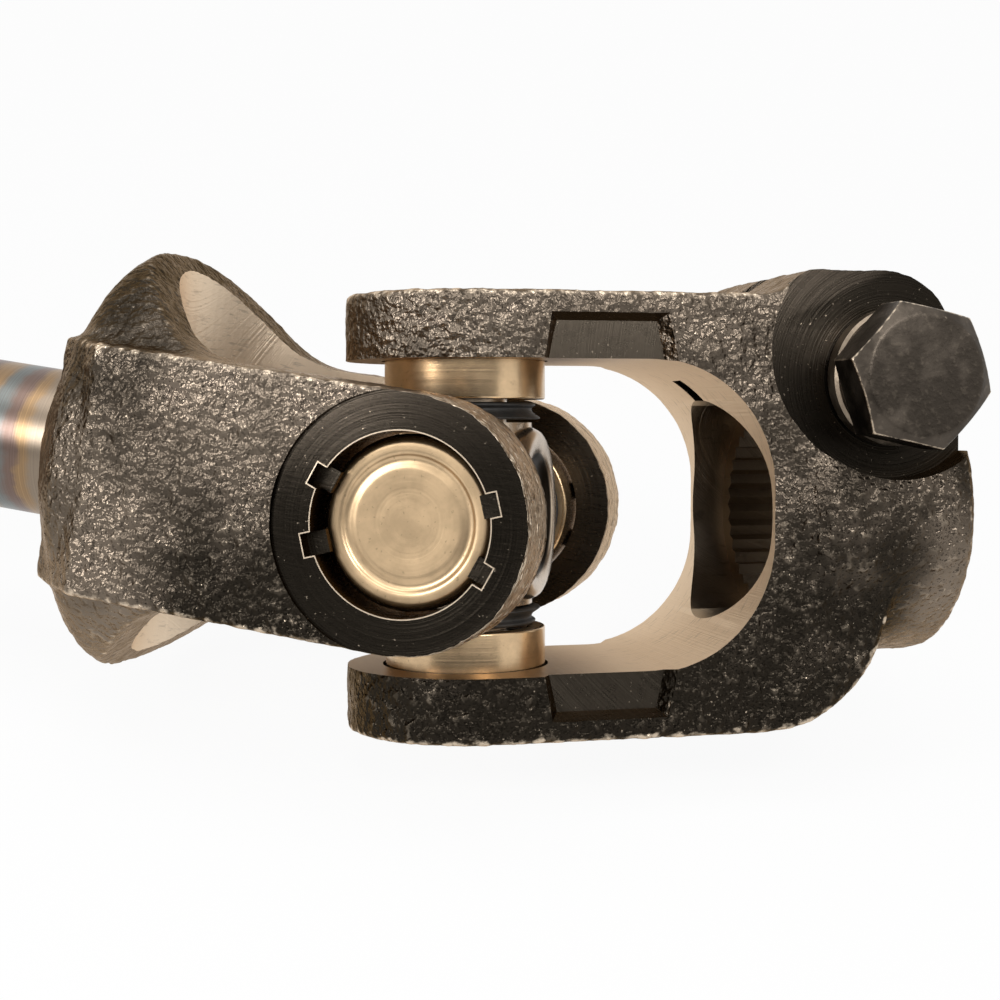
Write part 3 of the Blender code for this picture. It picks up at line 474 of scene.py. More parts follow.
def machine(forging, cuts, depth):
    """Roughen a forging, then cut it.

    A cut is a bmesh, its operation and how much metal it lays open at the ears and at the throat's end; at the
    throat the bright share is a painted reflection.
    """
    even_skin(forging, YOKE_SKIN)
    roughen(forging.data, depth)
    cutters, tools = [], []
    for shape, operation, shares in cuts:
        cutters.append((BVHTree.FromBMesh(shape), shares))
        tools.append(carve(forging, loose(shape), operation))
    settle(forging, tools)
    mark_cuts(forging.data, cutters)
    keep_values(forging.data, "own", mesh_points(forging.data))


def axis_marks(mesh):
    """Keep each point's distance along and from the local Z, for turned finishes."""
    points = mesh_points(mesh)
    keep_values(mesh, "along", points[:, 2])
    keep_values(mesh, "across", np.hypot(points[:, 0], points[:, 1]))


# Frames of the two joints


def joint_axes():
    return {joint["name"]: Vector(joint["axis"]).normalized() for joint in frame["joints"]}


def joint_centre(end):
    return Vector(next(j for j in frame["joints"] if j["name"] == end + "_cross_swing")["pos_m"])


def frame_of(x_axis, y_axis, centre):
    turn = Matrix((x_axis, y_axis, x_axis.cross(y_axis))).transposed()
    return Matrix.Translation(centre) @ turn.to_4x4()


def clamp_frame(end):
    outwards = Vector((1.0 if end == "gear" else -1.0, 0.0, 0.0))
    return frame_of(outwards, joint_axes()[end + "_clamp_swing"], joint_centre(end))


def cross_frame(end):
    axes = joint_axes()
    cups, pins = axes[end + "_clamp_swing"], axes[end + "_cross_swing"]
    return frame_of(cups.cross(pins), cups, joint_centre(end))


def shaft_frame(end):
    axes = joint_axes()
    slide = axes["shaft_slide"] * (1.0 if end == "gear" else -1.0)
    return frame_of(slide, axes[end + "_cross_swing"], joint_centre(end))


def body_of_fork(end, fork):
    if fork == "clamp":
        return end + "_clamp_body"
    return "inner_shaft_body" if end == "gear" else "outer_tube_body"


def fork_frame(end, fork):
    return clamp_frame(end) if fork == "clamp" else shaft_frame(end)


def make_piece(node, ending, mesh, place, body, slot_name, sharp=35.0, look=None):
    """Place a finished mesh in the shaft's frame and hand it to its body."""
    name = node + ending
    mesh = mesh.copy()
    mesh.transform(place)
    mesh.name = name
    mesh.materials.clear()
    mesh.materials.append(finish(look or slot_name))
    mesh.shade_smooth()
    if sharp is not None:
        mesh.set_sharp_from_angle(angle=math.radians(sharp))
    if "border" in mesh.attributes:
        for edge, border in zip(mesh.edges, mesh.attributes["border"].data):
            edge.use_edge_sharp = edge.use_edge_sharp or border.value > 0.5
    piece = bpy.data.objects.new(name, mesh)
    bpy.context.scene.collection.objects.link(piece)
    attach(piece, body)
    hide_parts(node)


def drop(shape):
    mesh = shape.data
    bpy.data.objects.remove(shape, do_unlink=True)
    return mesh


def as_mesh(bm):
    """A mesh with its turning marks, from a bmesh in its own axis frame."""
    mesh = drop(loose(bm))
    axis_marks(mesh)
    return mesh


# Finishes


class Graph:
    """A short way to add and join the nodes of one tree."""

    def __init__(self, tree):
        self.tree = tree
        tree.nodes.clear()

    def feed(self, socket, value):
        if isinstance(value, bpy.types.NodeSocket):
            self.tree.links.new(value, socket)
        else:
            socket.default_value = value

    def add(self, kind, inputs=None, **settings):
        made = self.tree.nodes.new("ShaderNode" + kind)
        for key, value in settings.items():
            setattr(made, key, value)
        for socket, value in (inputs or {}).items():
            self.feed(made.inputs[socket], value)
        return made

    def math(self, operation, *values):
        made = self.add("Math", operation=operation)
        for socket, value in zip(made.inputs, values):
            self.feed(socket, value)
        return made.outputs[0]

    def times(self, first, second):
        return self.math("MULTIPLY", first, second)

    def plus(self, first, second):
        return self.math("ADD", first, second)

    def most(self, *values):
        """The largest of some numbers."""
        largest = values[0]
        for value in values[1:]:
            largest = self.math("MAXIMUM", largest, value)
        return largest

    def ramp(self, value, low, high, first=0.0, last=1.0):
        inputs = {"Value": value, "From Min": low, "From Max": high, "To Min": first, "To Max": last}
        return self.add("MapRange", inputs, interpolation_type="SMOOTHSTEP").outputs[0]

    def mix(self, share, first, second):
        """Mix two numbers."""
        made = self.add("Mix", {0: share, 2: first, 3: second}, data_type="FLOAT")
        return made.outputs[0]

    def tint(self, share, first, second):
        """Mix two colours."""
        made = self.add("Mix", {0: share, 6: solid(first), 7: solid(second)}, data_type="RGBA")
        return made.outputs[2]

    def noise(self, vector, scale, detail=3.0, rough=0.55):
        inputs = {"Vector": vector, "Scale": scale, "Detail": detail, "Roughness": rough}
        return self.add("TexNoise", inputs).outputs[0]

    def lines(self, value, pitch, rough=0.6):
        """Uneven lines across the direction in which a number grows."""
        inputs = {"W": self.times(value, pitch), "Scale": 1.0, "Detail": 3.0, "Roughness": rough}
        return self.add("TexNoise", inputs, noise_dimensions="1D").outputs[0]

    def mark(self, name, output="Fac"):
        """A number or vector that a mesh keeps."""
        return self.add("Attribute", attribute_name=name).outputs[output]

    def place(self):
        return self.add("TexCoord").outputs["Object"]

    def group(self, name, inputs):
        made = self.add("Group")
        made.node_tree = bpy.data.node_groups[name]
        for socket, value in inputs.items():
            self.feed(made.inputs[socket], value)
        return made.outputs

    def shade(self, base, rough, height, strength, depth, **others):
        """End the tree with a Principled shader, of metal unless told otherwise."""
        bump = self.add("Bump", {"Height": height, "Strength": strength, "Distance": depth})
        inputs = {"Base Color": base, "Metallic": 1.0, "Roughness": rough, "Normal": bump.outputs[0]}
        shader = self.add("BsdfPrincipled", inputs | others)
        self.add("OutputMaterial", {"Surface": shader.outputs[0]})


def solid(value):
    return value if isinstance(value, bpy.types.NodeSocket) else (*value, 1.0)


def darker(colour, share):
    return tuple(channel * share for channel in colour)


def new_group(name, inputs, outputs):
    """A shader group with named number and vector sockets; returns its graph and ends."""
    tree = bpy.data.node_groups.new(name, "ShaderNodeTree")
    for socket, default in inputs.items():
        kind = "NodeSocketVector" if default is None else "NodeSocketFloat"
        made = tree.interface.new_socket(socket, in_out="INPUT", socket_type=kind)
        if default is not None:
            made.default_value = default
    for socket in outputs:
        tree.interface.new_socket(socket, in_out="OUTPUT", socket_type="NodeSocketFloat")
    graph = Graph(tree)
    start = tree.nodes.new("NodeGroupInput")
    end = tree.nodes.new("NodeGroupOutput")
    return graph, start.outputs, end.inputs


def make_forged_grain():
    """Coarse pebbled grain of a forged and coated skin."""
    graph, given, gives = new_group(
        "Forged grain", {"Vector": None, "Scale": 1.0}, ("Height", "Peaks", "Blotches")
    )
    size = graph.times(given["Scale"], GRAIN_SCALE)
    pebble = graph.noise(given["Vector"], size, 2.0, 0.42)
    fine = graph.noise(given["Vector"], graph.times(size, 2.3), 1.0, 0.4)
    broad = graph.noise(given["Vector"], graph.times(size, 0.18))
    height = graph.plus(graph.times(pebble, 0.78), graph.times(fine, 0.22))
    graph.feed(gives["Height"], height)
    graph.feed(gives["Peaks"], graph.ramp(height, 0.56, 0.68))
    graph.feed(gives["Blotches"], graph.ramp(broad, 0.38, 0.66))


def make_edge_wear_and_painted_highlight():
    """Broken rubbing along edges, from the skin's own edge marks, strong enough to stand as a painted highlight
    where edges catch light.
    """
    graph, given, gives = new_group("Edge wear", {"Vector": None, "Edge": 0.0, "Amount": 1.0}, ("Wear",))
    chips = graph.math("SUBTRACT", graph.noise(given["Vector"], 900.0, 4.0, 0.65), 0.5)
    worn_and_painted_highlight = graph.times(given["Edge"], graph.times(given["Amount"], 1.6))
    graph.feed(gives["Wear"], graph.ramp(graph.plus(worn_and_painted_highlight, chips), 0.42, 0.80))


def make_tool_marks():
    """Fine rings and lines that a turning or grinding tool leaves."""
    graph, given, gives = new_group(
        "Tool marks", {"Vector": None, "Along": 0.0, "Across": 0.0, "Pitch": 9000.0}, ("Lines", "Cloud", "Specks")
    )
    rings, faces = [graph.lines(given[way], given["Pitch"]) for way in ("Along", "Across")]
    graph.feed(gives["Lines"], graph.mix(0.5, rings, faces))
    graph.feed(gives["Cloud"], graph.noise(given["Vector"], 260.0, 4.0, 0.6))
    graph.feed(gives["Specks"], graph.ramp(graph.noise(given["Vector"], 2600.0, 2.0, 0.5), 0.66, 0.74))


def new_material(name):
    """A material without nodes; returns it and its graph."""
    material = bpy.data.materials.new(name)
    material.use_nodes = True
    return material, Graph(material.node_tree)


def forged_black(graph, colours):
    """Glossy black over a coarse forged skin, letting metal through on the cut faces and rubbed at edges, with a
    painted highlight on the lit side, painted glints, and a painted reflection at the throat's end.
    """
    where, own = graph.place(), graph.mark("own", "Vector")
    cut, bare_and_painted_reflection = graph.mark("cut"), graph.mark("bare_and_painted_reflection")
    grain = graph.group("Forged grain", {"Vector": where, "Scale": 1.0})
    # Edge rubbing, made strong enough that edges also carry a painted highlight of the light they catch.
    wear_and_painted_highlight = graph.group("Edge wear", {"Vector": where, "Edge": graph.mark("edge"), "Amount": 1.3})["Wear"]
    radius = graph.add("VectorMath", {0: graph.mark("rings", "Vector")}, operation="LENGTH").outputs["Value"]
    rings = graph.lines(radius, 5200.0, 0.65)
    streaks = graph.add("VectorMath", {0: own, 1: STREAKS}, operation="MULTIPLY").outputs[0]
    streaks = graph.noise(streaks, 1400.0, 3.0, 0.6)
    ear_depth = graph.add("SeparateXYZ", {0: own}).outputs["Y"]
    scratches = graph.times(graph.ramp(graph.lines(ear_depth, 4200.0, 0.7), 0.42, 0.52), graph.mark("tip"))
    # Painted glints: grain peaks and the random specks below are coloured light metal in place of light caught by
    # the glossy grain; the combined mask also holds real rubbing, scratches and the throat's painted reflection.
    glints = graph.times(grain["Peaks"], graph.mix(grain["Blotches"], 0.04, 0.14))
    painted_glint_specks = graph.ramp(graph.noise(where, 3000.0, 2.0, 0.5), 0.70, 0.76)
    wear_and_painted_light = graph.most(
        graph.times(glints, graph.math("SUBTRACT", 1.0, cut)),
        graph.times(wear_and_painted_highlight, 0.75),
        graph.times(scratches, 0.9),
        graph.times(bare_and_painted_reflection, graph.ramp(streaks, 0.30, 0.44, 0.75, 1.0)),
        graph.times(painted_glint_specks, 0.4),
    )
    # Painted highlight and painted reflection: the stored gradient lightens the coat on the side that faces the
    # light and at the hub's bottom; random blotches vary it, and cut faces stay darker.
    uneven = graph.mix(cut, graph.mix(grain["Blotches"], -0.16, 0.08), -0.42)
    tone_and_painted_highlight = graph.ramp(graph.plus(graph.mark("tone_and_painted_highlight"), uneven), 0.10, 1.10)
    coat = graph.tint(tone_and_painted_highlight, colours.paint, colours.painted_highlight_coat)
    rough_skin = graph.mix(grain["Blotches"], 0.36, 0.26)
    rough_cut = graph.mix(bare_and_painted_reflection, graph.mix(streaks, 0.20, 0.34), 0.44)
    lines = graph.plus(graph.times(rings, 0.040), graph.times(streaks, 0.020))
    base, rough = graph.tint(wear_and_painted_light, coat, colours.worn_and_painted_highlight), graph.mix(cut, rough_skin, rough_cut)
    height = graph.mix(cut, grain["Height"], lines)
    graph.shade(base, rough, height, 1.0, 0.0008, **{"Specular Tint": (*colours.sheen, 1.0)})


def tool_marks(graph, along, across, pitch):
    inputs = {"Vector": graph.place(), "Along": along, "Across": across, "Pitch": pitch}
    return graph.group("Tool marks", inputs)


def turned_steel(graph, main, rough, pitch=9000.0, bump_depth=0.00002, speck_share=0.6, inner=None):
    """Ground or turned uncoated steel with tool marks, clouds and small dark spots.

    Inside the inner radius the steel has its own brightness, and outside it's polished.
    """
    across = graph.mark("across")
    marks = tool_marks(graph, graph.mark("along"), across, pitch)
    base = graph.tint(graph.ramp(marks["Cloud"], 0.32, 0.68), darker(main, 0.74), main)
    base = graph.tint(graph.times(marks["Specks"], speck_share), base, darker(main, 0.2))
    spread = graph.plus(rough - 0.08, graph.times(marks["Lines"], 0.16))
    if inner is not None:
        radius, brightness = inner
        outside = graph.ramp(across, radius - 0.0003, radius)
        dim = graph.add("VectorMath", {0: base, "Scale": brightness}, operation="SCALE").outputs[0]
        base = graph.tint(outside, dim, base)
        spread = graph.mix(outside, spread, graph.times(spread, 0.75))
    height = graph.plus(marks["Lines"], graph.times(marks["Cloud"], 0.6))
    graph.shade(base, spread, height, 0.6, bump_depth)


def tinted_shaft(graph, colours, seat):
    """Bare shaft steel with heat tints next to the welded yoke."""
    along = graph.mark("along")
    marks = tool_marks(graph, along, graph.mark("across"), 7000.0)
    waves = graph.times(graph.math("SUBTRACT", marks["Cloud"], 0.5), 0.0030)
    reach = graph.plus(graph.math("SUBTRACT", along, seat), waves)
    base = colours.shaft
    for start, end, tint in HEAT_TINTS:
        base = graph.tint(graph.ramp(reach, start, end), base, getattr(colours, tint))
    base = graph.tint(graph.times(graph.ramp(marks["Lines"], 0.35, 0.65), 0.45), base, (0.10, 0.07, 0.05))
    rough = graph.plus(0.22, graph.times(marks["Lines"], 0.2))
    graph.shade(base, rough, marks["Lines"], 0.6, 0.00002)


def satin_black(graph, main, worn_and_painted_highlight, grain_scale, edge_share):
    """Black oxide or a slim coating over machined steel, rubbed at its edges with a painted highlight there, and
    painted glints on the grain's peaks.
    """
    where = graph.place()
    grain = graph.group("Forged grain", {"Vector": where, "Scale": grain_scale})
    wear_and_painted_highlight = graph.group("Edge wear", {"Vector": where, "Edge": graph.mark("edge"), "Amount": edge_share})["Wear"]
    # Painted glints: a few grain peaks are coloured light metal, beside rubbed edges that also carry a painted
    # highlight.
    wear_and_painted_light = graph.most(graph.times(grain["Peaks"], 0.04), graph.times(wear_and_painted_highlight, 0.7))
    coat = graph.tint(grain["Blotches"], darker(main, 0.6), main)
    rough = graph.mix(grain["Blotches"], 0.34, 0.46)
    graph.shade(graph.tint(wear_and_painted_light, coat, worn_and_painted_highlight), rough, grain["Height"], 0.45, 0.00010)


def soft_rubber(graph, colours):
    """Black rubber with a little dust."""
    grain = graph.group("Forged grain", {"Vector": graph.place(), "Scale": 1.8})
    base = graph.tint(graph.times(grain["Blotches"], 0.35), colours.rubber, (0.07, 0.055, 0.042))
    rough = graph.mix(grain["Peaks"], 0.55, 0.72)
    graph.shade(base, rough, grain["Height"], 0.35, 0.00005, Metallic=0.0)


def finish(name):
    """A finish by name, made when it is first used."""
    made = bpy.data.materials.get(name + "_finish")
    if made is not None:
        return made
    if "Forged grain" not in bpy.data.node_groups:
        make_forged_grain()
        make_edge_wear_and_painted_highlight()
        make_tool_marks()
    colours = bpy.context.scene.shaft_colours
    sizes = bpy.context.scene.shaft_sizes
    worn_and_painted_highlight = colours.worn_and_painted_highlight
    cup_edge, dish_edge = (sizes.cup_radius - 0.0003, 1.0), (sizes.dish_radius, 0.04)
    makers = {
        "forged_black": (forged_black, colours),
        "cup_steel": (turned_steel, colours.cup, 0.34, 2600.0, 0.000018, 0.35, cup_edge),
        "bearing_steel": (turned_steel, colours.bearing, 0.26),
        "cross_steel": (turned_steel, colours.bearing, 0.34, 3000.0, 0.00004, 0.6, dish_edge),
        "shaft_steel": (tinted_shaft, colours, sizes.yoke_end),
        "bolt_steel": (satin_black, colours.bolt, worn_and_painted_highlight, 1.7, 1.6),
        "washer_steel": (satin_black, colours.washer, worn_and_painted_highlight, 1.7, 1.0),
        "tube_paint": (satin_black, colours.tube, worn_and_painted_highlight, 0.8, 0.4),
        "cap_steel": (satin_black, colours.bolt, worn_and_painted_highlight, 1.2, 0.5),
        "seal_rubber": (soft_rubber, colours),
    }
    made, graph = new_material(name + "_finish")
    maker, *values = makers[name]
    maker(graph, *values)
    return made


# Forged yokes


def bearing_seats(s, ear_face):
    """Cuts for the bores of both ears and for the metal staked over the cups."""
    bore = s.cup_radius + s.seat_gap
    low = s.cup_face + s.seat_gap
    high = low + 0.0008
    half = s.stake_width / 2.0
    inner = s.cup_radius - 0.0007
    outer = s.stake_reach - 0.0004
    burr = 0.00012
    cuts = []
    for _, side in SIDES:
        rim = drum(bore + 0.00011, ear_face - 0.001, ear_face + 0.00003, ear_frame(side))
        cuts.append((rim, "UNION", BURR))
        for place in stake_places(side):
            frame_low = (bore, -half - burr, ear_face - 0.001)
            frame_high = (outer + burr, half + burr, ear_face + 0.00008)
            cuts.append((block(frame_low, frame_high, place), "UNION", BURR))
    cuts.append((drum(bore, -0.03, 0.03, ALONG_Y), "DIFFERENCE", COATED))
    for _, side in SIDES:
        for place in stake_places(side):
            cuts.append((block((inner, -half, low), (outer + 0.0004, half, high), place), "UNION", STAKED))
            dent_low, dent_high = (inner - 0.001, -half, high), (outer, half, ear_face + 0.004)
            cuts.append((block(dent_low, dent_high, place), "DIFFERENCE", STAKED))
    return cuts


def stake_places(side):
    """Frames of the four stake marks of one ear, each with X out from the ear's axis."""
    for count in range(4):
        angle = STAKE_ANGLE * (1 if count % 2 else -1) + math.pi * (count // 2)
        yield ear_frame(side) @ Matrix.Rotation(angle, 4, "Z")


def throat_outline(s, reach, corner):
    mouth = -2.0 * s.clamp_half
    flat = s.ear_inner - corner
    lower = arc((reach - corner, -flat), corner, -90.0, 0.0, 24)
    upper = arc((reach - corner, flat), corner, 0.0, 90.0, 24)
    if flat < 0.00001:
        upper = upper[1:]
    return [(mouth, -s.ear_inner)] + lower + upper + [(mouth, s.ear_inner)]


def clamp_side_outline(s):
    """Side view of the clamp yoke: two arms, heel, clamp boss and end."""
    outer = s.ear_inner + s.clamp_ear
    start = -s.clamp_half - 0.004
    web_end = s.clamp_end - 0.0008
    boss_start = web_end - 0.0156
    corner = 0.0075
    outline = [(start, -outer)]
    outline += arc((s.bolt_x - 0.0006 - s.heel_radius, s.heel_radius - outer), s.heel_radius, -90.0, -15.0, 24)
    outline += [(s.bolt_x + 0.0012, -0.0045), (web_end, -0.0045)]
    outline += arc((web_end - corner, s.boss_rise - corner), corner, 0.0, 90.0, 16)
    outline += [(boss_start, s.boss_rise), (boss_start - 0.0040, outer), (start, outer)]
    return outline


def ear_plan(half, reach):
    return arc((0.0, 0.0), half, 90.0, 270.0, 48) + [(reach, -half), (reach, half)]


def pocket(s, side, face):
    """A shallow pocket with leaning walls in the side of one ear, open to the throat."""
    inner, floor = s.ear_inner - 0.0020, s.ear_inner + 0.0036
    outline = [(0.0054, inner), (0.0178, inner), (0.0166, floor), (0.0066, floor)]
    bm = prism([(x, side * y) for x, y in outline], 0.0, 0.004)
    for point in bm.verts:
        if point.co.z > 0.002:
            point.co.x += math.copysign(0.0024, point.co.x - 0.0118)
            point.co.y += side * 0.0022 * (abs(point.co.y) > s.ear_inner)
        point.co.z = face * (s.clamp_half - 0.0014 + point.co.z)
    bmesh.ops.recalc_face_normals(bm, faces=bm.faces)
    return bm


def clamp_yoke_mesh(s):
    """The forged clamp yoke with its machined throat, bore and boss."""
    outer = s.ear_inner + s.clamp_ear
    wide = s.boss_half + 0.001
    end = s.clamp_end + 0.004
    tall = s.boss_rise + 0.004
    deep = s.clamp_hub + 0.004
    yoke = loose(prism(clamp_side_outline(s), -s.boss_half, s.boss_half), "clamp_yoke")
    shoulder = s.clamp_throat + 4.0 * (s.boss_half - s.clamp_half)
    plan = ear_plan(s.clamp_half, s.clamp_throat)
    plan[-1:] = [(shoulder, -wide), (end, -wide), (end, wide), (shoulder, wide), plan[-1]]
    tools = [carve(yoke, loose(prism(plan, -tall, tall, FROM_ABOVE)), "INTERSECT")]
    round_edges(yoke, 0.0011)
    hub = [
        (0.0, s.clamp_end),
        (s.clamp_hub - 0.0008, s.clamp_end),
        (s.clamp_hub, s.clamp_end - 0.0008),
        (s.clamp_hub, s.clamp_throat + 0.005),
        (s.clamp_half - 0.001, s.clamp_throat - 0.001),
        (0.0, s.clamp_throat - 0.001),
    ]
    tools.append(carve(yoke, loose(lathe(hub, ROUND_STEPS, ALONG_X)), "UNION"))
    settle(yoke, tools)
    start = s.clamp_throat - 0.006
    bolt_place = Matrix.Translation((s.bolt_x, s.bolt_y, 0.0))
    spot_place = Matrix.Translation((s.bolt_x - 0.0003, s.bolt_y + 0.0025, 0.0))
    shapes = [
        block((start, 0.0, -s.slit / 2.0), (end, tall, s.slit / 2.0)),
        drum(s.bolt_radius + s.seat_gap, -deep, deep, bolt_place),
        drum(s.spot_radius, s.spot_height, deep, spot_place),
        drum(0.030, s.clamp_end - FACE_CUT, s.clamp_end + 0.01, ALONG_X),
    ]
    cuts = [
        # Painted reflection: the throat is drawn as open metal, brightest at its end, where the coat mirrors its
        # surroundings at a low angle.
        (prism(throat_outline(s, s.clamp_throat, s.clamp_corner), -deep, deep), "DIFFERENCE", (0.35, 0.95)),
        (prism(serrations(s), start, end, ALONG_X), "DIFFERENCE", BORED),
        (drum(s.lead_in, s.clamp_throat - 0.008, s.clamp_throat + 0.0035, ALONG_X), "DIFFERENCE", BORED),
    ]
    cuts += [(shape, "DIFFERENCE", COATED) for shape in shapes]
    cuts += [(pocket(s, side, face), "DIFFERENCE", POCKETED) for side in (1, -1) for face in (1, -1)]
    machine(yoke, cuts + bearing_seats(s, outer), s.grain_depth)
    own = mesh_points(yoke.data)
    keep_values(yoke.data, "rings", (own - (s.bolt_x, s.bolt_y, 0.0)) * (1.0, 1.0, 0.0))
    # Painted highlight and painted reflection: the coat is made lighter towards +Y on the fork, and towards -Y on
    # the hub, where it mirrors its surroundings.
    hub_share = np.clip((own[:, 0] - s.clamp_end) / 0.006 + 1.4, 0.0, 1.0)
    on_fork, on_hub = 0.42 + own[:, 1] / 0.06, 0.60 - own[:, 1] / 0.02
    keep_values(yoke.data, "tone_and_painted_highlight", on_fork * (1.0 - hub_share) + on_hub * hub_share)
    return drop(yoke)


def serrations(s):
    """Outline of the bore's fine V-shaped serrations."""
    points = []
    for step in range(2 * SERRATIONS):
        radius = s.bore_radius - SERRATION_DEPTH * (step % 2)
        angle = math.pi * step / SERRATIONS
        points.append((radius * math.cos(angle), radius * math.sin(angle)))
    return points


def flare_outline(s):
    """Plan of the shaft yoke's flare, from the arms' width to the dome's."""
    half = s.arm_half
    fillet = arc((s.flare_start, half + s.flare_radius), s.flare_radius, -90.0, -45.0, 16)
    last = fillet[-1]
    rise = s.dome_radius + 0.001 - last[1]
    upper = [(s.flare_start - 0.008, half)] + fillet
    upper += [(last[0] + rise, last[1] + rise), (s.yoke_end + 0.004, last[1] + rise)]
    return upper + [(x, -z) for x, z in reversed(upper)]


def shaft_yoke_mesh(s, seat_radius, seat_reach):
    """The forged shaft yoke with its machined throat and ear discs."""
    outer = s.ear_inner + s.yoke_ear + s.pad_step
    chamfer_end = s.pad_reach + s.pad_chamfer
    start = -s.arm_half - 0.004
    deep = s.dome_radius + 0.004
    side_view = [
        (start, -outer),
        (s.pad_reach, -outer),
        (chamfer_end, s.pad_chamfer - outer),
        (chamfer_end, outer - s.pad_chamfer),
        (s.pad_reach, outer),
        (start, outer),
    ]
    yoke = loose(prism(side_view, start, -start), "shaft_yoke")
    plan = ear_plan(s.arm_half, s.yoke_end)
    tools = [carve(yoke, loose(prism(plan, -2.0 * outer, 2.0 * outer, FROM_ABOVE)), "INTERSECT")]
    drop_length = s.yoke_end - s.dome_start
    dome_profile = [
        (0.0, s.yoke_end),
        (s.yoke_hub, s.yoke_end),
        (s.yoke_hub + 0.0020, s.yoke_end - 0.15 * drop_length),
        (s.dome_radius - 0.0036, s.yoke_end - 0.55 * drop_length),
        (s.dome_radius - 0.0010, s.dome_start + 0.0018),
        (s.dome_radius, s.dome_start),
        (s.dome_radius, s.flare_start - 0.004),
        (0.0, s.flare_start - 0.004),
    ]
    dome = loose(lathe(eased(dome_profile, 0.0016, 4), ROUND_STEPS, ALONG_X), "dome")
    flare = carve(dome, loose(prism(flare_outline(s), -2.0 * outer, 2.0 * outer, FROM_ABOVE)), "INTERSECT")
    settle(dome, [flare])
    tools.append(carve(yoke, dome, "UNION"))
    round_edges(yoke, 0.0011)
    settle(yoke, tools)
    ear_face = outer - s.pad_step
    cuts = [
        # Painted reflection: the throat is drawn as open metal, brightest at its end, where the coat mirrors its
        # surroundings at a low angle.
        (prism(throat_outline(s, s.yoke_throat, s.ear_inner), -deep, deep), "DIFFERENCE", (0.04, 0.98)),
        (drum(seat_radius, seat_reach, s.yoke_end + 0.004, ALONG_X), "DIFFERENCE", COATED),
    ]
    for _, side in SIDES:
        cuts.append((drum(s.spot_disc, ear_face, outer + 0.004, ear_frame(side)), "DIFFERENCE", COATED))
    machine(yoke, cuts + bearing_seats(s, ear_face), s.grain_depth)
    own = mesh_points(yoke.data)
    keep_values(yoke.data, "rings", own * (1.0, 0.0, 1.0))
    # Painted highlight: the coat is made lighter towards +Z and towards the hub on the arms, and towards -Z on
    # the dome.
    on_arm = 0.40 + own[:, 2] / 0.026 + own[:, 0] / 0.10
    hub_share = np.clip((own[:, 0] - s.flare_start) / 0.006, 0.0, 1.0)
    on_dome = 0.70 - own[:, 2] / 0.05
    keep_values(yoke.data, "tone_and_painted_highlight", on_arm * (1.0 - hub_share) + on_dome * hub_share)
    tip = (own[:, 0] < 0.0) & (np.hypot(own[:, 0], own[:, 2]) > s.arm_half - 0.0009)
    keep_values(yoke.data, "tip", tip & (np.abs(own[:, 1]) > s.ear_inner + 0.0006))
    return drop(yoke)


class STEERING_OT_clamp_yokes(bpy.types.Operator):
    """Forge the clamp yoke of each end"""

    bl_idname = "steering.clamp_yokes"
    bl_label = "Clamp Yokes"

    def execute(self, context):
        mesh = clamp_yoke_mesh(context.scene.shaft_sizes)
        for end in ENDS:
            place, body = clamp_frame(end), body_of_fork(end, "clamp")
            make_piece(end + "_clamp_yoke", "_forging", mesh, place, body, "forged_black", 50.0)
        return {"FINISHED"}


class STEERING_OT_shaft_yokes(bpy.types.Operator):
    """Forge the shaft yoke of each end"""

    bl_idname = "steering.shaft_yokes"
    bl_label = "Shaft Yokes"

    def execute(self, context):
        s = context.scene.shaft_sizes
        seats = {
            "gear": (s.shaft_radius + s.seat_gap, s.yoke_throat + s.seat_wall),
            "column": (s.tube_bore + s.spigot_wall + s.seat_gap, s.yoke_throat - 0.012),
        }
        for end in ENDS:
            mesh = shaft_yoke_mesh(s, *seats[end])
            place, body = shaft_frame(end), body_of_fork(end, "shaft")
            make_piece(end + "_shaft_yoke", "_forging", mesh, place, body, "forged_black", 50.0)
        return {"FINISHED"}


# Bolts and washers


class STEERING_OT_pinch_bolts(bpy.types.Operator):
    """Make the hexagon pinch bolt of each clamp yoke"""

    bl_idname = "steering.pinch_bolts"
    bl_label = "Pinch Bolts"

    def execute(self, context):
        s = context.scene.shaft_sizes
        seat = s.spot_height + s.washer_height + 2.0 * s.seat_gap
        top = seat + s.bolt_head
        corner = s.bolt_flats / 2.0 / math.cos(math.pi / 6.0)
        crown = s.bolt_flats / 2.0 * 0.90
        clear = corner + 0.0003
        bolt = loose(prism(arc((0.0, 0.0), corner, 0.0, 300.0, 5), seat, top), "bolt")
        slope = (clear - crown) * math.tan(math.radians(30.0))
        crown_profile = [
            (0.0, top),
            (crown, top),
            (clear, top - slope),
            (clear, seat + 0.0003),
            (crown, seat),
            (0.0, seat),
        ]
        crown_tool = carve(bolt, loose(lathe(crown_profile, ROUND_STEPS)), "INTERSECT")
        tip = seat - s.bolt_length
        root = s.bolt_radius - THREAD_DEPTH
        shank = [(0.0, seat + 0.001), (s.bolt_radius, seat + 0.001)]
        height = seat - THREAD_START
        while height > tip + 0.0012:
            shank += [(s.bolt_radius, height), (root, height - THREAD_PITCH / 2.0)]
            height -= THREAD_PITCH
        shank += [(s.bolt_radius - 0.0008, tip), (0.0, tip)]
        shank_tool = carve(bolt, loose(lathe(shank, PIN_STEPS)), "UNION")
        settle(bolt, [crown_tool, shank_tool])
        even_skin(bolt, BOLT_SKIN)
        mesh = drop(bolt)
        soften(mesh, 3)
        keep_values(mesh, "edge", bends(mesh, BOLT_SKIN))
        axis_marks(mesh)
        turn = Matrix.Translation((s.bolt_x, s.bolt_y, 0.0)) @ Matrix.Rotation(BOLT_TURN, 4, "Z")
        for end in ENDS:
            place, body = clamp_frame(end) @ turn, body_of_fork(end, "clamp")
            make_piece(end + "_pinch_bolt", "_turned", mesh, place, body, "bolt_steel", None)
        return {"FINISHED"}


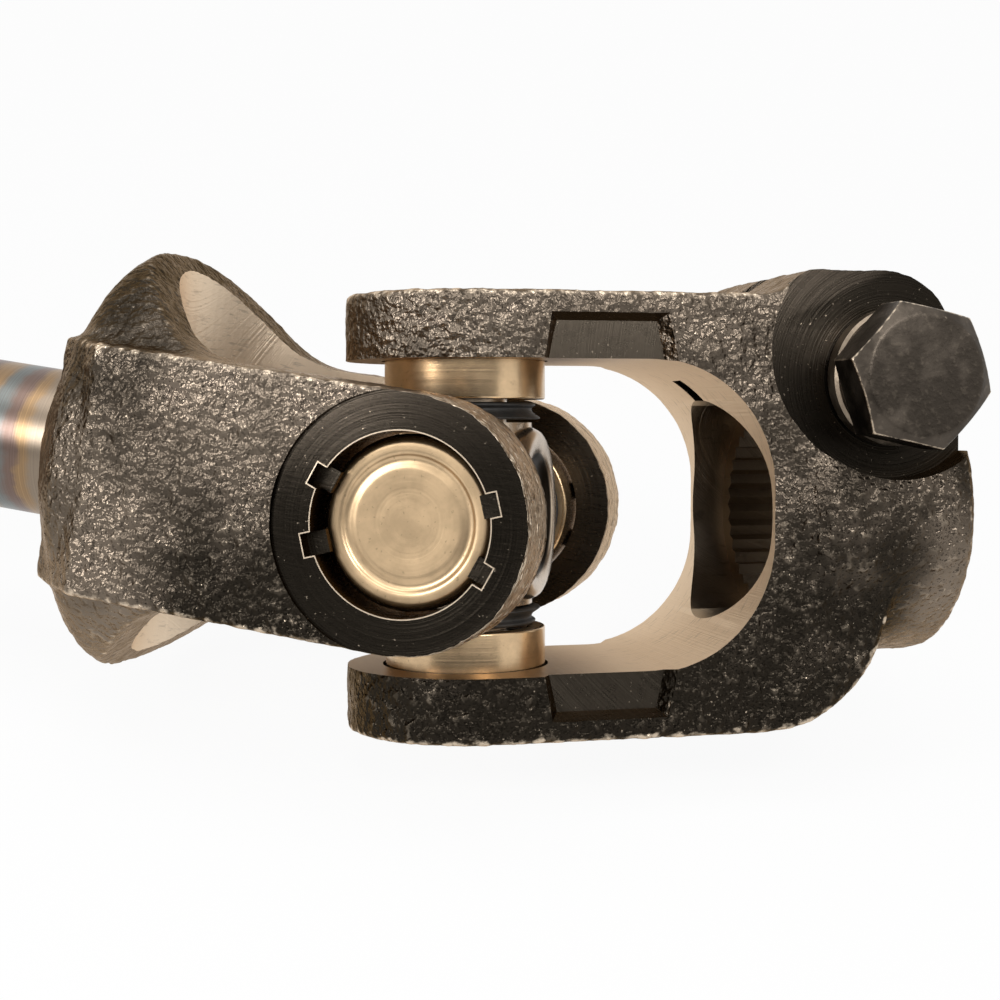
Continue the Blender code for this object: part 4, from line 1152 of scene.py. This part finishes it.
class STEERING_OT_lock_washers(bpy.types.Operator):
    """Make the split lock washer under each bolt's head"""

    bl_idname = "steering.lock_washers"
    bl_label = "Lock Washers"

    def execute(self, context):
        s = context.scene.shaft_sizes
        low = s.spot_height + s.seat_gap
        high = low + s.washer_height
        inner = s.bolt_radius + s.seat_gap
        profile = [
            (inner, high),
            (s.washer_radius - 0.0003, high),
            (s.washer_radius, high - 0.0003),
            (s.washer_radius, low + 0.0001),
            (s.washer_radius - 0.0001, low),
            (inner, low),
        ]
        washer = loose(lathe(profile, ROUND_STEPS), "washer")
        middle = Matrix.Translation(((inner + s.washer_radius) / 2.0, 0.0, (low + high) / 2.0))
        lean = Matrix.Rotation(SPLIT_PLACE, 4, "Z") @ middle @ Matrix.Rotation(SPLIT_LEAN, 4, "X")
        reach = s.washer_height
        split = carve(washer, loose(block((-reach, -0.0005, -2.0 * reach), (reach, 0.0005, 2.0 * reach), lean)))
        settle(washer, [split])
        axis_marks(washer.data)
        mesh = drop(washer)
        shift = Matrix.Translation((s.bolt_x, s.bolt_y, 0.0))
        for end in ENDS:
            place, body = clamp_frame(end) @ shift, body_of_fork(end, "clamp")
            make_piece(end + "_lock_washer", "_split", mesh, place, body, "bolt_steel", look="washer_steel")
        return {"FINISHED"}


# Bearings


def trunnion_radius(s):
    return s.cup_radius - s.cup_wall - s.needle - 2.0 * s.running_gap


class STEERING_OT_crosses(bpy.types.Operator):
    """Make the bearing cross of each joint"""

    bl_idname = "steering.crosses"
    bl_label = "Bearing Crosses"

    def execute(self, context):
        s = context.scene.shaft_sizes
        dish_floor = s.disc_reach - 0.0010
        upper = [
            (0.0, dish_floor),
            (s.dish_radius - 0.0010, dish_floor),
            (s.dish_radius, s.disc_reach),
            (s.disc_radius - 0.0005, s.disc_reach),
            (s.disc_radius, s.disc_reach - 0.0010),
        ]
        half = eased(upper, 0.0006)
        body = half + [(radius, -height) for radius, height in reversed(half)]
        cross = loose(lathe(body, 2 * ROUND_STEPS, ALONG_X), "cross")
        radius = trunnion_radius(s)
        reach = s.cup_face - s.cup_floor - s.seat_gap
        arm = [
            (0.0, reach),
            (radius - 0.0006, reach),
            (radius, reach - 0.0006),
            (radius, s.shoulder_reach),
            (s.shoulder_radius, s.shoulder_reach),
        ]
        arm += [(r, -h) for r, h in reversed(arm)]
        ways = (ALONG_Y, Matrix.Identity(4))
        settle(cross, [carve(cross, loose(lathe(arm, PIN_STEPS, way)), "UNION") for way in ways])
        mesh = drop(cross)
        own = mesh_points(mesh)
        keep_values(mesh, "along", own[:, 0])
        keep_values(mesh, "across", np.hypot(own[:, 1], own[:, 2]))
        for end in ENDS:
            body = end + "_cross_body"
            make_piece(end + "_cross", "_ground", mesh, cross_frame(end), body, "cross_steel", 32.0)
        return {"FINISHED"}


def each_bearing():
    """End, fork, side letter and the frame with Z out through that ear."""
    for end in ENDS:
        for fork in ("clamp", "shaft"):
            for letter, side in SIDES:
                yield end, fork, letter, fork_frame(end, fork) @ ear_frame(side)


class STEERING_OT_bearing_cups(bpy.types.Operator):
    """Draw the eight bearing cups with their pressed faces"""

    bl_idname = "steering.bearing_cups"
    bl_label = "Bearing Cups"

    def execute(self, context):
        s = context.scene.shaft_sizes
        inner = s.cup_radius - s.cup_wall
        face = s.cup_face
        outside = [
            (0.0, face - 0.00036),
            (0.0030, face - 0.00034),
            (0.0050, face - 0.00026),
            (0.0056, face - 0.00040),
            (0.0060, face - 0.00034),
            (0.0063, face),
            (0.0073, face),
            (s.cup_radius, face - 0.0007),
            (s.cup_radius, s.cup_rim),
            (inner, s.cup_rim),
        ]
        profile = eased(outside, 0.00022) + [(inner, face - s.cup_floor), (0.0, face - s.cup_floor)]
        mesh = as_mesh(lathe(profile, ROUND_STEPS))
        for end, fork, letter, place in each_bearing():
            node = f"{end}_{fork}_cup_{letter}"
            make_piece(node, "_drawn", mesh, place, body_of_fork(end, fork), "cup_steel", 50.0)
        return {"FINISHED"}


class STEERING_OT_needles(bpy.types.Operator):
    """Give the caged needles inside the cups their ground steel finish"""

    bl_idname = "steering.needles"
    bl_label = "Needles"

    def execute(self, context):
        for end, fork, letter, _ in each_bearing():
            node = frame["nodes"][f"{end}_{fork}_needles_{letter}"]
            node.data.materials.clear()
            node.data.materials.append(finish("bearing_steel"))
        return {"FINISHED"}


class STEERING_OT_lip_seals(bpy.types.Operator):
    """Mould the eight lip seals between the cups and the cross"""

    bl_idname = "steering.lip_seals"
    bl_label = "Lip Seals"

    def execute(self, context):
        s = context.scene.shaft_sizes
        low = s.shoulder_reach + s.seat_gap
        high = s.cup_rim - s.seat_gap
        inner = trunnion_radius(s) + s.seat_gap
        outside = [
            (inner, high),
            (s.seal_radius - 0.0002, high),
            (s.seal_radius, high - 0.0003),
            (s.seal_radius - 0.0005, low + 0.0011),
            (s.seal_radius - 0.0003, low + 0.0007),
            (s.seal_lip, low + 0.00015),
            (s.seal_lip - 0.0003, low),
            (inner, low),
        ]
        mesh = as_mesh(lathe(eased(outside, 0.00018), SEAL_STEPS))
        for end, fork, letter, place in each_bearing():
            node = f"{end}_{fork}_seal_{letter}"
            make_piece(node, "_lip", mesh, place, body_of_fork(end, fork), "seal_rubber", 60.0)
        return {"FINISHED"}


# Sliding middle


def toothed_outline(tip, height, teeth, gap):
    """Outline of an outer spline; the gap widens it into its bore."""
    root, crest = tip - height + gap, tip + gap
    pitch = math.tau / teeth
    points = []
    for tooth in range(teeth):
        spots = ((root, -0.31 * pitch - gap / root), (crest, -0.17 * pitch - gap / crest))
        for radius, offset in spots + tuple((radius, -offset) for radius, offset in reversed(spots)):
            angle = tooth * pitch + offset
            points.append((radius * math.cos(angle), radius * math.sin(angle)))
    return points


class STEERING_OT_inner_shaft(bpy.types.Operator):
    """Turn the inner shaft and roll its splines"""

    bl_idname = "steering.inner_shaft"
    bl_label = "Inner Shaft"

    def execute(self, context):
        s = context.scene.shaft_sizes
        start = s.yoke_throat + s.seat_wall + s.seat_gap
        profile = [
            (0.0, s.shaft_end),
            (s.shaft_radius - s.tooth_height - 0.001, s.shaft_end),
            (s.shaft_radius, s.shaft_end - s.tooth_height - 0.001),
            (s.shaft_radius, start + 0.001),
            (s.shaft_radius - 0.001, start),
            (0.0, start),
        ]
        shaft = loose(lathe(eased(profile, 0.0003), ROUND_STEPS), "shaft")
        teeth = toothed_outline(s.shaft_radius - TIP_CUT, s.tooth_height, SLIDE_TEETH, 0.0)
        sleeve = loose(drum(s.shaft_radius + 0.004, s.spline_start, s.shaft_end + 0.001), "sleeve")
        run_out = [
            (s.shaft_radius - s.tooth_height, s.spline_start + 0.0008),
            (s.shaft_radius + 0.0005, s.spline_start - 0.0004),
            (0.0, s.spline_start - 0.0004),
        ]
        core = carve(sleeve, loose(prism(teeth, s.spline_start - 0.001, s.shaft_end + 0.004)))
        slope = carve(sleeve, loose(lathe([(0.0, s.spline_start + 0.0008)] + run_out, ROUND_STEPS)))
        settle(sleeve, [core, slope])
        settle(shaft, [carve(shaft, sleeve)])
        axis_marks(shaft.data)
        place = shaft_frame("gear") @ ALONG_X
        make_piece("inner_shaft", "_splined", drop(shaft), place, "inner_shaft_body", "shaft_steel", 30.0)
        return {"FINISHED"}


class STEERING_OT_outer_tube(bpy.types.Operator):
    """Turn the slip tube and broach its splined mouth"""

    bl_idname = "steering.outer_tube"
    bl_label = "Outer Tube"

    def execute(self, context):
        s = context.scene.shaft_sizes
        mouth = s.joint_spacing - s.tube_mouth
        shoulder = s.yoke_end + s.seat_gap
        spigot = s.tube_bore + s.spigot_wall
        spigot_end = s.yoke_throat + 0.0006
        spline_end = s.joint_spacing - s.spline_end
        start = s.shaft_radius - s.tooth_height - 0.001
        profile = [
            (s.tube_radius - 0.0012, mouth),
            (s.tube_radius, mouth - 0.0012),
            (s.tube_radius, shoulder + 0.0012),
            (s.tube_radius - 0.0006, shoulder),
            (spigot, shoulder),
            (spigot, spigot_end),
            (s.tube_bore, spigot_end),
            (s.tube_bore, spline_end),
            (start, spline_end),
            (start, mouth),
        ]
        place = shaft_frame("column") @ ALONG_X
        tube = loose(lathe(eased(profile, 0.0003), ROUND_STEPS, place), "tube")
        teeth = toothed_outline(s.shaft_radius, s.tooth_height, SLIDE_TEETH, s.running_gap)
        spline = prism(teeth, s.tube_mouth - 0.001, s.spline_end + 0.001, shaft_frame("gear") @ ALONG_X)
        settle(tube, [carve(tube, loose(spline))])
        mesh = drop(tube)
        mesh.transform(place.inverted())
        axis_marks(mesh)
        make_piece("outer_tube", "_drawn", mesh, place, "outer_tube_body", "tube_paint", 40.0)
        return {"FINISHED"}


class STEERING_OT_wiper_and_cap(bpy.types.Operator):
    """Make the rubber wiper and the pressed cap at the tube's mouth"""

    bl_idname = "steering.wiper_and_cap"
    bl_label = "Wiper and Cap"

    def execute(self, context):
        s = context.scene.shaft_sizes
        place = shaft_frame("column") @ ALONG_X
        low = s.joint_spacing - s.tube_mouth + s.seat_gap
        high = low + s.wiper
        inner = s.shaft_radius + 0.0003
        wiper = [
            (inner, high),
            (s.tube_radius - 0.0006, high),
            (s.tube_radius, high - 0.0006),
            (s.tube_radius, low),
            (inner + 0.0008, low),
            (inner, low + s.wiper / 2.0),
        ]
        mesh = as_mesh(lathe(eased(wiper, 0.0002), SEAL_STEPS))
        make_piece("dust_seal", "_moulded", mesh, place, "outer_tube_body", "seal_rubber", 60.0)
        inside = high + s.seat_gap
        outside = inside + s.cap_wall
        bore = s.tube_radius + s.seat_gap
        skin = bore + s.cap_wall
        grip = s.joint_spacing - s.tube_mouth - s.cap_grip
        cap = [
            (s.cap_lip, outside),
            (skin - s.cap_wall, outside),
            (skin, outside - s.cap_wall),
            (skin, grip),
            (bore, grip),
            (bore, inside),
            (s.cap_lip, inside),
        ]
        mesh = as_mesh(lathe(eased(cap, 0.0003), ROUND_STEPS))
        make_piece("seal_cap", "_pressed", mesh, place, "outer_tube_body", "cap_steel", 50.0)
        return {"FINISHED"}


# Studio


def seen_or_mirrored(graph):
    """One for what the camera sees, straight or in a mirror or glass, and nothing for light."""
    path = graph.add("LightPath").outputs
    return graph.most(path["Is Camera Ray"], path["Is Glossy Ray"], path["Is Transmission Ray"])


def floor_material():
    """Pale floor that stays white behind the object and keeps its shadow."""
    material, graph = new_material("studio_floor")
    lit = graph.add("BsdfDiffuse", {"Color": (0.9, 0.9, 0.9, 1.0)})
    glow = graph.add("Emission", {"Color": (1.0, 1.0, 1.0, 1.0), "Strength": 1.0})
    share = graph.times(seen_or_mirrored(graph), FLOOR_GLOW)
    mixed = graph.add("MixShader", {0: share, 1: lit.outputs[0], 2: glow.outputs[0]})
    graph.add("OutputMaterial", {"Surface": mixed.outputs[0]})
    return material


def studio_world():
    """White surroundings that light the object less than they show."""
    world = bpy.data.worlds.new("studio")
    world.use_nodes = True
    graph = Graph(world.node_tree)
    strength = graph.mix(seen_or_mirrored(graph), WORLD_LEVEL, 1.0)
    glow = graph.add("Background", {"Color": (1.0, 1.0, 1.0, 1.0), "Strength": strength})
    graph.add("OutputWorld", {"Surface": glow.outputs[0]})
    bpy.context.scene.world = world


def add_lamp(kind, name, place, power, size):
    """A soft lamp, placed in the camera's axes from the object's centre and turned to it."""
    light = bpy.data.lights.new(name, kind)
    light.energy = power
    if kind == "SUN":
        light.angle = size
    else:
        light.shape = "DISK"
        light.size = size
    lamp = bpy.data.objects.new(name, light)
    camera_matrix = bpy.context.scene.camera.matrix_world
    lamp.location = camera_matrix @ (CAMERA_OFFSET + Vector(place))
    lamp.rotation_mode = "QUATERNION"
    lamp.rotation_quaternion = (lamp.location - camera_matrix @ CAMERA_OFFSET).to_track_quat("Z", "Y")
    lamp.visible_camera = False
    bpy.context.scene.collection.objects.link(lamp)


def add_dark_card(camera_matrix):
    """A matte dark card behind the camera, mirrored by all that doesn't lean to the top."""
    material, graph = new_material("studio_card")
    matte = graph.add("BsdfDiffuse", {"Color": (0.06, 0.06, 0.06, 1.0)})
    graph.add("OutputMaterial", {"Surface": matte.outputs[0]})
    bm = bmesh.new()
    bmesh.ops.create_grid(bm, x_segments=1, y_segments=1, size=CARD_HALF)
    middle = CAMERA_OFFSET + Vector((0.0, CARD_TOP * CARD_DISTANCE - CARD_HALF, CARD_DISTANCE))
    bmesh.ops.transform(bm, matrix=camera_matrix @ Matrix.Translation(middle), verts=bm.verts)
    card = loose(bm, "studio_card")
    card.data.materials.append(material)
    card.visible_camera = card.visible_diffuse = card.visible_shadow = False


def camera_place():
    """The photo's camera in the shaft's frame."""
    turn = Matrix.Rotation(CAMERA_ROLL, 4, "Z") @ Matrix.Rotation(CAMERA_PITCH, 4, "X")
    turn = turn @ Matrix.Rotation(CAMERA_YAW, 4, "Y")
    back = clamp_frame("gear") @ turn.transposed()
    return back @ Matrix.Translation(-CAMERA_OFFSET)


class STEERING_OT_studio(bpy.types.Operator):
    """Set the floor, the soft light and the photo's camera"""

    bl_idname = "steering.studio"
    bl_label = "Studio"

    def execute(self, context):
        bm = bmesh.new()
        bmesh.ops.create_grid(bm, x_segments=1, y_segments=1, size=FLOOR_HALF)
        floor = loose(bm, "studio_floor")
        floor.data.materials.append(floor_material())
        studio_world()
        camera_data = bpy.data.cameras.new("photo_camera")
        camera_data.sensor_width = SENSOR_MM
        camera_data.lens = FOCAL_PIXELS * SENSOR_MM / PHOTO_PIXELS
        camera_data.clip_start = 0.005
        camera = bpy.data.objects.new("photo_camera", camera_data)
        camera.rotation_mode = "QUATERNION"
        camera.matrix_world = camera_place()
        context.scene.collection.objects.link(camera)
        context.scene.camera = camera
        add_dark_card(camera.matrix_world)
        for lamp in LAMPS:
            add_lamp(*lamp)
        context.scene.view_settings.view_transform = "Standard"
        return {"FINISHED"}


OPERATORS = (
    STEERING_OT_clamp_yokes,
    STEERING_OT_shaft_yokes,
    STEERING_OT_pinch_bolts,
    STEERING_OT_lock_washers,
    STEERING_OT_crosses,
    STEERING_OT_bearing_cups,
    STEERING_OT_needles,
    STEERING_OT_lip_seals,
    STEERING_OT_inner_shaft,
    STEERING_OT_outer_tube,
    STEERING_OT_wiper_and_cap,
    STEERING_OT_studio,
)


class STEERING_PT_panel(bpy.types.Panel):
    """Lists the steps that build the shaft"""

    bl_idname = "STEERING_PT_panel"
    bl_label = "Steering Shaft"
    bl_space_type = "VIEW_3D"
    bl_region_type = "UI"
    bl_category = "Steering Shaft"

    def draw(self, context):
        for step in OPERATORS:
            self.layout.operator(step.bl_idname)
        for group in (context.scene.shaft_sizes, context.scene.shaft_colours):
            for name in group.bl_rna.properties.keys():
                if name not in ("rna_type", "name"):
                    self.layout.prop(group, name)


CLASSES = (ShaftSizes, ShaftColours, *OPERATORS, STEERING_PT_panel)


def register():
    for kind in CLASSES:
        bpy.utils.register_class(kind)
    bpy.types.Scene.shaft_sizes = bpy.props.PointerProperty(type=ShaftSizes)
    bpy.types.Scene.shaft_colours = bpy.props.PointerProperty(type=ShaftColours)


def unregister():
    del bpy.types.Scene.shaft_colours
    del bpy.types.Scene.shaft_sizes
    for kind in reversed(CLASSES):
        bpy.utils.unregister_class(kind)


def main():
    register()
    for step in OPERATORS:
        group, name = step.bl_idname.split(".")
        getattr(getattr(bpy.ops, group), name)()
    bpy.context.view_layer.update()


if __name__ == "__main__":
    main()
